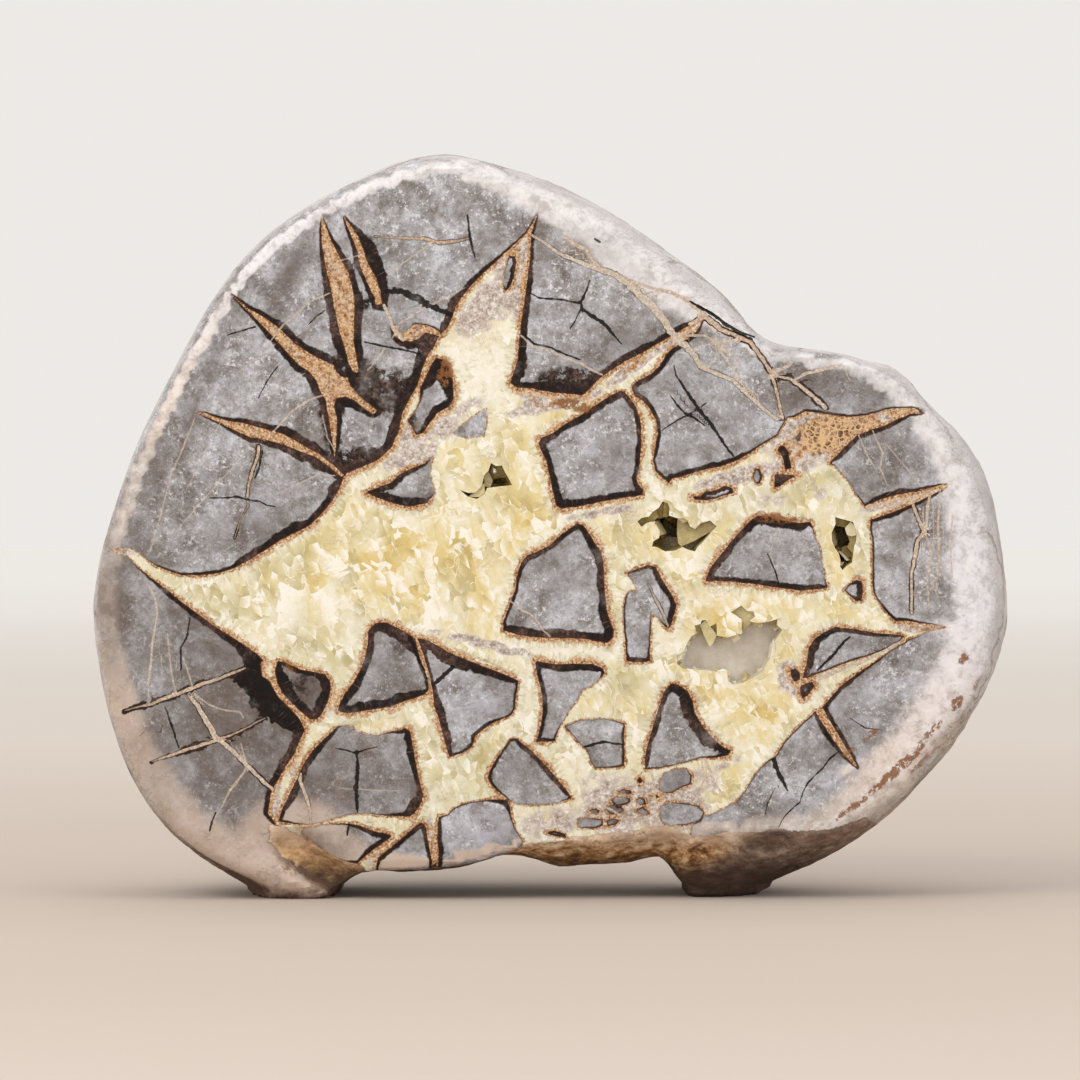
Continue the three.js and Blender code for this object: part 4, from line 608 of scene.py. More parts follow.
# Jagged mouths of the four hollows, with the depth and how far each narrows
hollows = {
    "small": {"node": "crystals_small_hollow", "depth": 6.5, "floor": 0.7, "mouth": [
        (-13.2, 83.5), (-12.3, 84.5), (-11.8, 86), (-10.8, 85.4), (-9.6, 85.5), (-9, 84.2), (-8.3, 83),
        (-7.6, 81.6), (-9, 81.4), (-11, 81.2), (-12.6, 81), (-13.1, 79.8), (-14.6, 78.8), (-16.5, 79.3),
        (-18, 80.6), (-16.3, 80), (-14.8, 80.1), (-13.6, 81.5)]},
    "wide": {"node": "crystals_wide_hollow", "depth": 11.5, "floor": 0.75, "mouth": [
        (17.5, 74.3), (18.3, 75), (19.8, 75.3), (20.5, 76.2), (21.7, 77), (22.5, 78.3), (23.5, 78),
        (23.9, 77), (23.8, 75.5), (24.8, 75.2), (25.7, 74.9), (26.8, 75), (27.5, 74.5), (28, 73.3),
        (29, 72.8), (30.2, 74), (32, 74.5), (33.3, 73.3), (32.3, 72.3), (31.5, 71.3), (30.5, 70.2),
        (29.5, 69.2), (29, 68.3), (27.5, 68.7), (26.5, 69.2), (25, 68.5), (23, 68.3), (21.3, 69.2),
        (20.4, 69.3), (20.6, 70.3), (21.8, 71), (22, 72.2), (21.3, 73.5), (20.3, 74.3), (19.3, 74),
        (18.3, 73.2)]},
    "tall": {"node": "crystals_tall_hollow", "depth": 9.5, "floor": 0.75, "mouth": [
        (57, 75.2), (58.8, 74.7), (60.6, 74.2), (61, 73), (61.3, 71.7), (61.2, 70.4), (60.8, 69.4),
        (60.6, 67.5), (60.4, 66.1), (59.3, 65.4), (58.5, 64.6), (58, 65.3), (58.1, 66.5), (57.7, 68),
        (57, 68.9), (56.4, 70.4), (56.3, 72), (57.1, 73.8)]},
    "shallow": {"node": "crystals_shallow_hollow", "depth": 3.6, "floor": 0.94, "mouth": [
        (25.4, 45.8), (25.3, 47.4), (26.8, 48.4), (27.4, 50), (28.3, 51.4), (29.3, 51.9), (28.9, 53.5),
        (30.1, 53.8), (30.3, 54.5), (31.2, 54.6), (32, 53.3), (33.3, 54), (33.4, 51.5), (35.5, 51.1),
        (38.4, 51.9), (38.3, 54.8), (36.2, 56.2), (38.2, 57.5), (39.5, 56.4), (40.7, 56.3), (41, 55.3),
        (39.8, 54.4), (41.5, 54), (43.5, 54.2), (45.5, 54.8), (45.4, 53.6), (46.5, 52.6), (45, 50.5),
        (45.2, 48.4), (43.4, 46), (42.5, 44.2), (41, 43.3), (38.5, 42), (36.5, 41.7), (35.5, 42.5),
        (35.2, 44.3), (33.5, 44.2), (31.5, 44.5), (29, 44.7), (26.5, 44.9)]},
}

stone = {
    "voxel": 1.4,  # mm, size of the quads that the stone is rebuilt from
    "flushBand": 0.5,  # what lies this near to the face or the ground is made flush with it
    "nearWall": (2.2, 0.7),  # the face's quads are halved, and halved again, this near to an edge of the grey
    "nearLine": (1.5, 0.5),  # and this near to a vein or a crack
    "rindFrom": 5, "rindTo": 18,  # mm behind the face where the rough rind begins and is full
    # mm of height where the broken edge's roughness ends and how it fades there, how far behind the face
    # it begins and how it grows, and its share of the rind's
    "lowEdge": {"top": 14, "fade": 5, "behind": 1.2, "deepen": 3, "share": 0.7},
    "smoothFeet": 1.2,  # mm of height that stay smooth, so that the feet stand flat
    "lumps": {"size": 13, "height": 1.5}, "grit": {"size": 3.2, "height": 0.55},
    "crackPlug": {"x": 34.4, "z": 114.4, "width": 13, "height": 2.6, "depth": 2.4, "turn": 31},
    "openCrack": [
        (27.6, 118.5), (30.5, 117.2), (32.6, 116.1), (35.1, 114.2), (38.1, 112.4), (41.5, 111.2),
        (41.4, 110.8), (38, 112), (34.9, 113.85), (32.4, 115.75), (30.4, 116.85)],
    "crackLevels": [(-0.8, 1.0), (0.4, 1.0), (2.6, 0.9)],
}


def copyOfNode(node, name):
    piece = bpy.data.objects.new(name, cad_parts[node].data.copy())
    bpy.context.scene.collection.objects.link(piece)
    piece.data.materials.clear()
    selectOnly(piece)
    bpy.ops.object.mode_set(mode="EDIT")
    bpy.ops.mesh.select_all(action="SELECT")
    bpy.ops.mesh.remove_doubles(threshold=1e-6)
    bpy.ops.object.mode_set(mode="OBJECT")
    return piece


# A block that fills a hole in the face, so that the hole can be cut again in finer detail
def addPlug(x, z, width, height, depth, turn=0):
    deselectAll()
    bpy.ops.mesh.primitive_cube_add(
        size=1, location=onFace(x, z, depth / 2), rotation=(0, math.radians(turn), 0),
        scale=(width / 1000, depth / 1000, height / 1000))
    plug = bpy.context.object
    setPlace(plug)
    return plug


# A block with the outline given, sunk into the face through levels of (depth, share of the outline)
def addPrism(name, outline, levels):
    deselectAll()
    bpy.ops.mesh.primitive_circle_add(vertices=len(outline), radius=0.01, fill_type="NGON")
    prism = bpy.context.object
    prism.name = name
    middle = np.mean(np.array(outline), axis=0)
    for vertex, (x, z) in zip(prism.data.vertices, outline):
        vertex.co = onFace(x, z, levels[0][0])
    bpy.ops.object.mode_set(mode="EDIT")
    bpy.ops.mesh.select_all(action="SELECT")
    for (fromDepth, fromShare), (toDepth, toShare) in zip(levels, levels[1:]):
        sink = (0, (toDepth - fromDepth) / 1000, 0)
        bpy.ops.mesh.extrude_region_move(TRANSFORM_OT_translate={"value": sink})
        narrow = toShare / fromShare
        bpy.ops.transform.resize(value=(narrow, 1, narrow), center_override=onFace(*middle, toDepth))
    bpy.ops.mesh.select_all(action="SELECT")
    bpy.ops.mesh.normals_make_consistent(inside=False)
    bpy.ops.object.mode_set(mode="OBJECT")
    return prism


def pointsOf(mesh):
    flat = np.empty(len(mesh.vertices) * 3)
    mesh.vertices.foreach_get("co", flat)
    return flat.reshape(-1, 3)


def faceMm(points):
    x = points[:, 0] * 1000 - faceFrame["shiftX"]
    z = points[:, 2] * 1000 - faceFrame["shiftZ"]
    return np.column_stack([x, z])


# Straight pieces of many lines, with the numbers that each knot carries and how far along it lies.
# Every line starts a stretch of its own, so that no two lines get the same hairs and crystals
def segmentsOf(lines, closed):
    rows = []
    for number, line in enumerate(lines):
        knots = [np.array(knot, float) for knot in line]
        ends = knots[1:] + knots[:1] if closed else knots[1:]
        along = number * 137.0
        for start, end in zip(knots, ends):
            rows.append(np.concatenate([start, end, [along]]))
            along += float(np.hypot(*(end - start)[:2]))
    return np.array(rows)


# For each point the offset from the nearest line, and the knots' numbers blended along it. The number
# named by less makes a line count as nearer by as much, so that a wide vein wins over a thin one
def nearestLine(points, segments, width, less=None):
    offsets, values = np.empty((len(points), 2)), np.empty((len(points), width + 1))
    start, end = segments[:, :2], segments[:, 2 + width:4 + width]
    run = end - start
    length = np.maximum(np.hypot(run[:, 0], run[:, 1]), 1e-6)
    atOnce = 1500  # points, which keeps the tables small
    for first in range(0, len(points), atOnce):
        chunk = points[first:first + atOnce]
        away = chunk[:, None, :] - start[None]
        share = np.clip((away * run[None]).sum(2) / length ** 2, 0, 1)
        away -= share[:, :, None] * run[None]
        reach = np.hypot(away[:, :, 0], away[:, :, 1])
        if less is not None:
            fromValue, toValue = segments[:, 2 + less], segments[:, 4 + width + less]
            reach = reach - (fromValue + (toValue - fromValue) * share)
        best = reach.argmin(axis=1)
        row = np.arange(len(chunk))
        offsets[first:first + atOnce] = away[row, best]
        part = share[row, best][:, None]
        fromRows, toRows = segments[best, 2:2 + width], segments[best, 4 + width:4 + 2 * width]
        values[first:first + atOnce, :width] = fromRows + (toRows - fromRows) * part
        values[first:first + atOnce, width] = segments[best, -1] + length[best] * part[:, 0]
    return offsets, values


def isInside(points, outline):
    x, z = points[:, 0], points[:, 1]
    inside = np.zeros(len(points), bool)
    corners = [knot[:2] for knot in outline]
    for (fromX, fromZ), (toX, toZ) in zip(corners, corners[1:] + corners[:1]):
        if fromZ != toZ:
            crosses = (fromZ > z) != (toZ > z)
            inside ^= crosses & (x < (toX - fromX) * (z - fromZ) / (toZ - fromZ) + fromX)
    return inside


wallLines = segmentsOf([calciteField] + spikes + fragments, closed=True)
veinRows = [
    [(x, z, half, tan, border) for x, z, half in line] for tan, border, line in veins]
veinLines = segmentsOf(veinRows, closed=False)
crackLines = segmentsOf(cracks, closed=False)


# Signed distance to the edge of the limestone, below 0 inside it, with the dark rim's width there
def wallAt(points):
    offsets, values = nearestLine(points, wallLines, 1)
    outside = isInside(points, calciteField)
    for spike in spikes:
        outside |= isInside(points, spike)
    for fragment in fragments:
        outside &= ~isInside(points, fragment)
    reach = np.hypot(offsets[:, 0], offsets[:, 1])
    return np.where(outside, reach, -reach), values[:, 0], values[:, 1]


# How strongly soft patches cover each point: flat in their middles, with a soft edge
def patchAt(points, rows):
    total = np.zeros(len(points))
    for x, z, halfLength, halfWidth, turn, strength in rows:
        right, up = math.cos(math.radians(turn)), math.sin(math.radians(turn))
        away = points - np.array([x, z])
        lengthwise = (away[:, 0] * right + away[:, 1] * up) / halfLength
        across = (away[:, 1] * right - away[:, 0] * up) / halfWidth
        total = np.maximum(total, strength * np.exp(-(lengthwise ** 2 + across ** 2) ** 1.3 * 0.8))
    return total


# A quarter more for each mm further inside a broken edge, from a half on its outline
def brokenAt(points):
    share = np.full(len(points), -9.0)
    for outline in brokenEdges:
        offsets, _ = nearestLine(points, segmentsOf([outline], closed=True), 0)
        reach = np.hypot(offsets[:, 0], offsets[:, 1]) / 4
        share = np.maximum(share, np.where(isInside(points, outline), 0.5 + reach, 0.5 - reach))
    return share


# Halves the quads of the flat face near the pattern's lines, to hold their edges sharp
def subdivideNear(piece, wallReach, lineReach):
    mesh = piece.data
    count = len(mesh.polygons)
    centres, normals = np.empty(count * 3), np.empty(count * 3)
    mesh.polygons.foreach_get("center", centres)
    mesh.polygons.foreach_get("normal", normals)
    centres, normals = centres.reshape(-1, 3), normals.reshape(-1, 3)
    level = (normals[:, 1] < -0.9) & (centres[:, 1] < faceY + 0.002)  # quads of the flat face
    places = faceMm(centres[level])
    wall, dark, _ = wallAt(places)
    near = (wall > -wallReach - dark * 0.6) & (wall < wallReach)  # over more than half of the dark rim
    for lines, width in ((veinLines, 3), (crackLines, 1)):
        offsets, values = nearestLine(places, lines, width, less=0)
        near |= np.hypot(offsets[:, 0], offsets[:, 1]) < values[:, 0] + lineReach
    chosen = np.zeros(count, bool)
    chosen[np.flatnonzero(level)[near]] = True
    selectOnly(piece)
    bpy.ops.object.mode_set(mode="EDIT")
    bpy.ops.mesh.select_mode(type="FACE")
    bpy.ops.mesh.select_all(action="DESELECT")
    bpy.ops.object.mode_set(mode="OBJECT")
    mesh.polygons.foreach_set("select", chosen)
    bpy.ops.object.mode_set(mode="EDIT")
    bpy.ops.mesh.subdivide(number_cuts=1)
    bpy.ops.object.mode_set(mode="OBJECT")


# How rough each point is: nothing on the face, all of it on the rind, and a part on the broken edge
def rindWeights(points, behind):
    height = points[:, 2] * 1000
    weights = np.clip((behind - stone["rindFrom"]) / (stone["rindTo"] - stone["rindFrom"]), 0, 1)
    low = stone["lowEdge"]
    broken = np.clip((low["top"] - height) / low["fade"], 0, 1)
    broken = broken * np.clip((behind - low["behind"]) / low["deepen"], 0, 1) * low["share"]
    weights = np.maximum(weights, broken)
    weights[height < stone["smoothFeet"]] = 0
    return weights


# Lumps and grit push the rind inwards only, so that the stone stays inside its solid
def roughenRind(piece, weights):
    steps = 16  # of weight, because a group takes its points one weight at a time
    rind = piece.vertex_groups.new(name="rind")
    for step in range(1, steps + 1):
        chosen = np.flatnonzero(np.ceil(weights * steps) == step)
        rind.add(chosen.tolist(), step / steps, "REPLACE")
    for name, kind in (("lumps", "CLOUDS"), ("grit", "VORONOI")):
        texture = bpy.data.textures.new(name, kind)
        texture.noise_scale = stone[name]["size"] / 1000
        addModifier(piece, "DISPLACE", texture=texture, texture_coords="LOCAL", mid_level=1,
                    strength=stone[name]["height"] / 1000, vertex_group="rind")
    piece.vertex_groups.clear()


def buildStone():
    piece = copyOfNode("nodule", "polishedNodule")
    plugs = [addPlug(**stone["crackPlug"])]
    for hollow in hollows.values():
        low, high = np.min(hollow["mouth"], axis=0) - 1, np.max(hollow["mouth"], axis=0) + 1
        plugs.append(addPlug(*(low + high) / 2, *(high - low), hollow["depth"] + 2))
    joinAll([piece] + plugs)
    addModifier(piece, "REMESH", mode="VOXEL", voxel_size=stone["voxel"] / 1000)
    points = pointsOf(piece.data)
    behind = (points[:, 1] - faceY) * 1000
    points[behind < stone["flushBand"], 1] = faceY
    points[points[:, 2] < stone["flushBand"] / 1000, 2] = 0
    piece.data.vertices.foreach_set("co", points.ravel())
    roughenRind(piece, rindWeights(points, behind))
    for wallReach, lineReach in zip(stone["nearWall"], stone["nearLine"]):
        subdivideNear(piece, wallReach, lineReach)
    return piece


# The rim of the flat face, measured before the hollows are cut
def findRim(piece):
    points = pointsOf(piece.data)
    flush = points[:, 1] < faceY + 1e-6
    rim = set()
    for polygon in piece.data.polygons:
        corners = [i for i in polygon.vertices if flush[i]]
        if 0 < len(corners) < len(polygon.vertices):
            rim.update(corners)
    tree = kdtree.KDTree(len(rim))
    for i in sorted(rim):
        tree.insert(points[i], i)
    tree.balance()
    return tree


noduleStone = buildStone()
rimTree = findRim(noduleStone)
print("stone rebuilt:", len(noduleStone.data.polygons), "faces")


def cutAway(piece, cutter):
    addModifier(piece, "BOOLEAN", operation="DIFFERENCE", object=cutter, solver="EXACT",
                material_mode="TRANSFER")
    bpy.data.objects.remove(cutter)


# From a hex colour as a screen shows it to linear light
def linear(hexColour):
    channels = [int(hexColour[i:i + 2], 16) / 255 for i in (1, 3, 5)]
    return tuple(c / 12.92 if c <= 0.04045 else ((c + 0.055) / 1.055) ** 2.4 for c in channels) + (1,)


# Which setting the second word of a node's kind gives, where it isn't the operation
modeSettings = {"Mix": "data_type", "MapRange": "interpolation_type", "TexVoronoi": "feature"}


# Adds a node with its settings and links: "Math ADD" is a Math node set to ADD. Inputs fill the
# sockets in use from the top, and the socket numbered by output comes back
def addNode(tree, kind, *inputs, output=0, stops=None, **settings):
    kind, _, mode = kind.partition(" ")
    node = tree.nodes.new("ShaderNode" + kind)
    if mode:
        settings[modeSettings.get(kind, "operation")] = mode
    for name, value in settings.items():
        setattr(node, name, value)
    if stops:
        while len(node.color_ramp.elements) < len(stops):
            node.color_ramp.elements.new(0.5)
        for element, (place, colour) in zip(node.color_ramp.elements, stops):
            element.position, element.color = place, linear(colour)
    sockets = [socket for socket in node.inputs if socket.enabled]
    for socket, value in zip(sockets, inputs):
        if isinstance(value, bpy.types.NodeSocket):
            tree.links.new(value, socket)
        elif value is not None:
            socket.default_value = linear(value) if isinstance(value, str) else value
    found = [socket for socket in node.outputs if socket.enabled]
    return found[output] if found else node


def newMaterial(name):
    material = bpy.data.materials.new(name)
    material.use_nodes = True
    tree = material.node_tree
    tree.nodes.clear()
    return material, tree


# Gives a surface its colour, its roughness and a relief of reliefDepth metres, and sets the
# constants on its own sockets
def finishMaterial(tree, colour, rough, relief, reliefDepth, **constants):
    bumped = addNode(tree, "Bump", 0.7, reliefDepth, None, relief)
    surface = addNode(tree, "BsdfPrincipled", colour, None, rough, None, None, bumped)
    for name, value in constants.items():
        surface.node.inputs[name].default_value = value
    addNode(tree, "OutputMaterial", surface)


# Soft spots of noise: the size in mm, detail and roughness of the noise, then the two levels that it
# fades between and how strong it is at each
def spots(node, place, size, detail, rough, low, high, atLow=0.0, atHigh=1.0):
    noise = node("TexNoise", place, 1 / size, detail, rough)
    return node("MapRange SMOOTHSTEP", noise, low, high, atLow, atHigh)


# Lays tones over a colour, each with its own share
def layOver(node, colour, layers):
    for share, tone in layers:
        colour = node("Mix RGBA", share, colour, tone)
    return colour


# Places in mm, and what the pattern gives at each point of the stone
def readPattern(node):
    place = node("VectorMath SCALE", node("TexCoord", output=3), 1000.0)
    read = {"place": place}
    names = {
        "wall": ("distance", "dark", "along"), "tone": ("honey", "clear", "snowy"),
        "stain": ("smoky", "misty", "charred"), "grit": ("sandy", "rusty", "rimPale"),
        "vein": ("veinX", "veinZ", "veinHalf"), "veinLook": ("veinTan", "veinBorder", "broken"),
        "crack": ("crackX", "crackZ", "crackHalf")}
    for attribute, parts in names.items():
        vector = node("Attribute", attribute_name=attribute, output=1)
        for number, part in enumerate(parts):
            read[part] = node("SeparateXYZ", vector, output=number)
    read["across"] = node("SeparateXYZ", place)
    read["depth"] = node("Math SUBTRACT", node("SeparateXYZ", place, output=1), faceY * 1000)
    read["height"] = node("SeparateXYZ", place, output=2)
    ragged = node("Math SUBTRACT", node("TexNoise", place, 1 / 1.2, 4.0, 0.65), 0.5)
    read["edge"] = node("Math MULTIPLY_ADD", ragged, 0.5, read["distance"])
    return SimpleNamespace(**read)


# Micrite: grey mud, clouded brown and bluish, frosted with fine white calcite
def colourLimestone(node, at):
    cloud = node("TexNoise", at.place, 1 / 6.5, 6.0, 0.72)
    grey = node("ValToRGB", cloud, stops=[
        (0.36, "#6f6865"), (0.44, "#918e8d"), (0.5, "#a9a9ac"), (0.56, "#bbbdc3"), (0.66, "#d8dbe2")])
    streaks = node("Mapping", at.place, None, (0, math.radians(-48), 0), (0.05, 0.2, 0.26))
    smear = spots(node, streaks, 1, 3.0, 0.55, 0.54, 0.68, 0.0, 0.3)
    pits = spots(node, at.place, 1.3, 5.0, 0.78, 0.5, 0.62, 0.0, 0.5)
    patchy = node("TexNoise", at.place, 1 / 6, 4.0, 0.62)
    bare = node("MapRange SMOOTHSTEP", patchy, 0.36, 0.5, 0.45, 0.0)
    core = node("MapRange SMOOTHSTEP", node("Math MULTIPLY", at.edge, -1.0), 0.5, 7.0, 0.0, 0.1)
    frosted = node("MapRange SMOOTHSTEP", node("Math ADD", core, patchy), 0.42, 0.64, 0.15, 1.0)
    frost = node("Math MULTIPLY", spots(node, at.place, 0.9, 5.0, 0.75, 0.53, 0.63), frosted)
    speck = node("TexNoise", at.place, 1 / 0.35, 3.0, 0.7)
    darkSpeck = node("MapRange SMOOTHSTEP", speck, 0.5, 0.66, 0.0, 0.35)
    paleSpeck = node("MapRange SMOOTHSTEP", speck, 0.32, 0.46, 0.35, 0.0)
    ridge = node("Math ABSOLUTE", node("Math SUBTRACT", node("TexNoise", at.place, 1 / 5.5, 4.0, 0.6), 0.5))
    hair = node("MapRange SMOOTHSTEP", ridge, 0.001, 0.006, 0.5, 0.0)
    hair = node("Math MULTIPLY", hair, spots(node, at.place, 4, 2.0, 0.5, 0.5, 0.6))
    mist = node("Math MULTIPLY", at.misty, spots(node, at.place, 2.5, 5.0, 0.7, 0.38, 0.6))
    smoke = node("Math MULTIPLY", at.smoky, spots(node, at.place, 3, 5.0, 0.65, 0.36, 0.58, 0.6, 1.0))
    smokeTone = node("Mix RGBA", node("TexNoise", at.place, 1 / 0.8, 4.0, 0.7), "#443934", "#857973")
    grey = layOver(node, grey, [
        (smear, "#7f7773"), (pits, "#71675f"), (bare, "#7d7570"), (frost, "#e4e5ec"),
        (darkSpeck, "#5f5653"), (paleSpeck, "#cfced4"), (hair, "#d8d6da"),
        (node("Math MULTIPLY", mist, 0.9), "#b9bac6"), (node("Math MULTIPLY", smoke, 0.85), smokeTone)])
    chalkTone, chalkShare = colourPaleEdge(node, at, smoke)
    return node("Mix RGBA", chalkShare, grey, chalkTone)


# The bleached band round the face: pinkish at the lower left, nearly white towards the right, where its
# whitest streaks by the outline are partly painted highlight of the rim in the light
def colourPaleEdge(node, at, smoke):
    chalk = node("TexNoise", at.place, 1 / 3, 6.0, 0.74)
    slant = node("Math MULTIPLY_ADD", at.across, 0.5, at.height)
    hue = node("ValToRGB", node("Math MULTIPLY_ADD", slant, 1 / 180, 0.11), stops=[
        (0.05, "#d9c3b2"), (0.34, "#cbbfb6"), (0.45, "#e8dad1"), (0.66, "#eeedf4"), (0.93, "#dedad9")])
    stained = node("MapRange SMOOTHSTEP", chalk, 0.36, 0.52, 0.42, 0.0)
    # paler streaks towards the outline, whitest up to the right: partly chalk, partly painted highlight on
    # the rim
    whiter = node("Math MULTIPLY_ADD", node("MapRange SMOOTHSTEP", at.rimPale, 1.1, 1.6), 0.08, chalk)
    whiter = node("MapRange SMOOTHSTEP", whiter, 0.48, 0.7, 0.0, 0.65)
    white = node("Mix RGBA", node("MapRange SMOOTHSTEP", slant, -10.0, 45.0), "#d2bcac", "#fbf9f8")
    tone = layOver(node, hue, [(stained, "#a0958e"), (whiter, white)])
    ragged = node("Math ADD", at.rimPale, node("Math SUBTRACT", chalk, 0.5))
    ragged = node("Math ADD", ragged, node("MapRange SMOOTHSTEP", at.misty, 0.95, 1.5))
    share = node("MapRange SMOOTHSTEP", ragged, 0.1, 1.0, 0.0, 0.95)
    return tone, node("Math MULTIPLY", share, node("Math MULTIPLY_ADD", smoke, -0.7, 1.0))


# Nearly black rims of the limestone, brown along the outer edge, crossed by pale hairs
def colourRims(node, at, grey):
    wave = spots(node, at.place, 3.2, 3.0, 0.55, 0.3, 0.7, 0.82, 1.25)
    inward = node("Math MULTIPLY", at.edge, -1.0)
    past = node("Math SUBTRACT", inward, node("Math MULTIPLY", at.dark, wave))
    inRim = node("Math MULTIPLY", node("MapRange SMOOTHSTEP", past, -0.1, 0.25, 1.0, 0.0),
                 node("MapRange SMOOTHSTEP", at.dark, 0.02, 0.2))
    black = node("ValToRGB", node("TexNoise", at.place, 1 / 1.1, 4.0, 0.7), stops=[
        (0.35, "#0f0a09"), (0.5, "#1d1311"), (0.62, "#33211b"), (0.72, "#4e352a")])
    brown = node("ValToRGB", node("TexNoise", at.place, 1 / 0.9, 5.0, 0.75), stops=[
        (0.35, "#231816"), (0.48, "#3d2c28"), (0.58, "#5a443c"), (0.7, "#8a7064")])
    weak = spots(node, at.place, 16, 4.0, 0.7, 0.47, 0.58)
    weak = node("Math MULTIPLY", weak, node("MapRange SMOOTHSTEP", at.dark, 2.2, 3.2, 1.0, 0.0))
    wide = node("MapRange SMOOTHSTEP", at.dark, 2.2, 3.4, 0.0, 0.7)
    outer = node("MapRange SMOOTHSTEP", inward, 0.0, 0.4, 0.8, 0.0)
    onEdge = node("Math MULTIPLY", at.distance, 0.25)
    hairs = node("CombineXYZ", node("Math MULTIPLY", at.along, 3.2), onEdge, 0.0)
    hair = spots(node, hairs, 1, 1.0, 0.5, 0.66, 0.74, 0.0, 0.45)
    rim = layOver(node, black, [(weak, brown), (wide, "#0b0706"), (outer, "#4c2814"), (hair, "#857268")])
    grain = spots(node, at.place, 1.7, 5.0, 0.7, 0.34, 0.6, 0.3, 1.3)
    burnt = node("MapRange SMOOTHSTEP", node("Math MULTIPLY", at.charred, grain), 0.2, 0.8)
    burntTone = node("ValToRGB", node("TexNoise", at.place, 1 / 1.3, 5.0, 0.75), stops=[
        (0.36, "#100b0a"), (0.47, "#2a1e1a"), (0.56, "#483730"), (0.64, "#6e5649"), (0.74, "#9c8373")])
    return layOver(node, grey, [(burnt, burntTone), (inRim, rim)])


# How wide the lining of aragonite is: wider beside a wide dark rim
def liningWidth(node, at):
    return node("Math MULTIPLY_ADD", node("Math MINIMUM", at.dark, 1.2), 0.75, 0.25)


# Aragonite: a lining of tan grains, paler towards the calcite, and sandy or spongy fillings of it
def colourAragonite(node, at, calcite):
    speck = node("TexNoise", at.place, 1 / 0.5, 4.0, 0.75)
    grains = node("ValToRGB", speck, stops=[
        (0.34, "#5f3a20"), (0.43, "#94663f"), (0.5, "#bb8f66"), (0.57, "#d8b891"), (0.68, "#f3e5d0")])
    paler = node("MapRange SMOOTHSTEP", at.edge, 0.3, 1.1, 0.0, 0.4)
    grains = node("Mix RGBA", paler, grains, "#efd9b8")
    wave = spots(node, at.place, 2.3, 5.0, 0.7, 0.32, 0.68, 0.3, 1.35)
    past = node("Math SUBTRACT", at.edge, node("Math MULTIPLY", liningWidth(node, at), wave))
    inLining = node("MapRange SMOOTHSTEP", past, -0.12, 0.16, 1.0, 0.0)

    broken = spots(node, at.place, 1.8, 5.0, 0.7, 0.3, 0.6, 0.55, 1.2)
    sand = node("MapRange SMOOTHSTEP", node("Math MULTIPLY", at.sandy, broken), 0.34, 0.58)
    sandNoise = node("TexNoise", at.place, 1 / 0.9, 5.0, 0.78)
    tanSand = node("ValToRGB", sandNoise, stops=[
        (0.34, "#6b452b"), (0.43, "#a0724c"), (0.5, "#c39a74"), (0.57, "#dcbf9f"), (0.68, "#f3e6d5")])
    paleSand = node("ValToRGB", sandNoise, stops=[
        (0.33, "#736760"), (0.42, "#a4968c"), (0.5, "#c6b9af"), (0.57, "#ddd5ce"), (0.68, "#f6f3f0")])
    streaked = node("TexNoise", node("VectorMath MULTIPLY", at.place, (1.0, 1.0, 0.45)), 1 / 1.8, 5.0, 0.7)
    cream = node("MapRange SMOOTHSTEP", streaked, 0.46, 0.6, 0.0, 0.75)
    orange = node("MapRange SMOOTHSTEP", streaked, 0.36, 0.46, 0.5, 0.0)
    tanSand = layOver(node, tanSand, [(cream, paleSand), (orange, "#a5672c")])
    wander = node("TexNoise", at.place, 1 / 1.6, 3.0, 0.6, output=1)
    threads = node("TexVoronoi DISTANCE_TO_EDGE", node("VectorMath ADD", wander, at.place), 1 / 1.15)
    holes = node("ValToRGB", sandNoise, stops=[(0.4, "#46301f"), (0.48, "#9c7356"), (0.58, "#cfae93")])
    sponge = node("Mix RGBA", node("MapRange SMOOTHSTEP", threads, 0.03, 0.16), "#e0bd8b", holes)
    spongy = node("Math MULTIPLY_ADD", node("Math SUBTRACT", broken, 0.9), 0.5, at.sandy)
    sandTone = layOver(node, paleSand, [
        (node("MapRange SMOOTHSTEP", at.sandy, 1.0, 1.15), tanSand),
        (node("MapRange SMOOTHSTEP", spongy, 1.1, 1.5), sponge)])
    return layOver(node, calcite, [(sand, sandTone), (inLining, grains)])
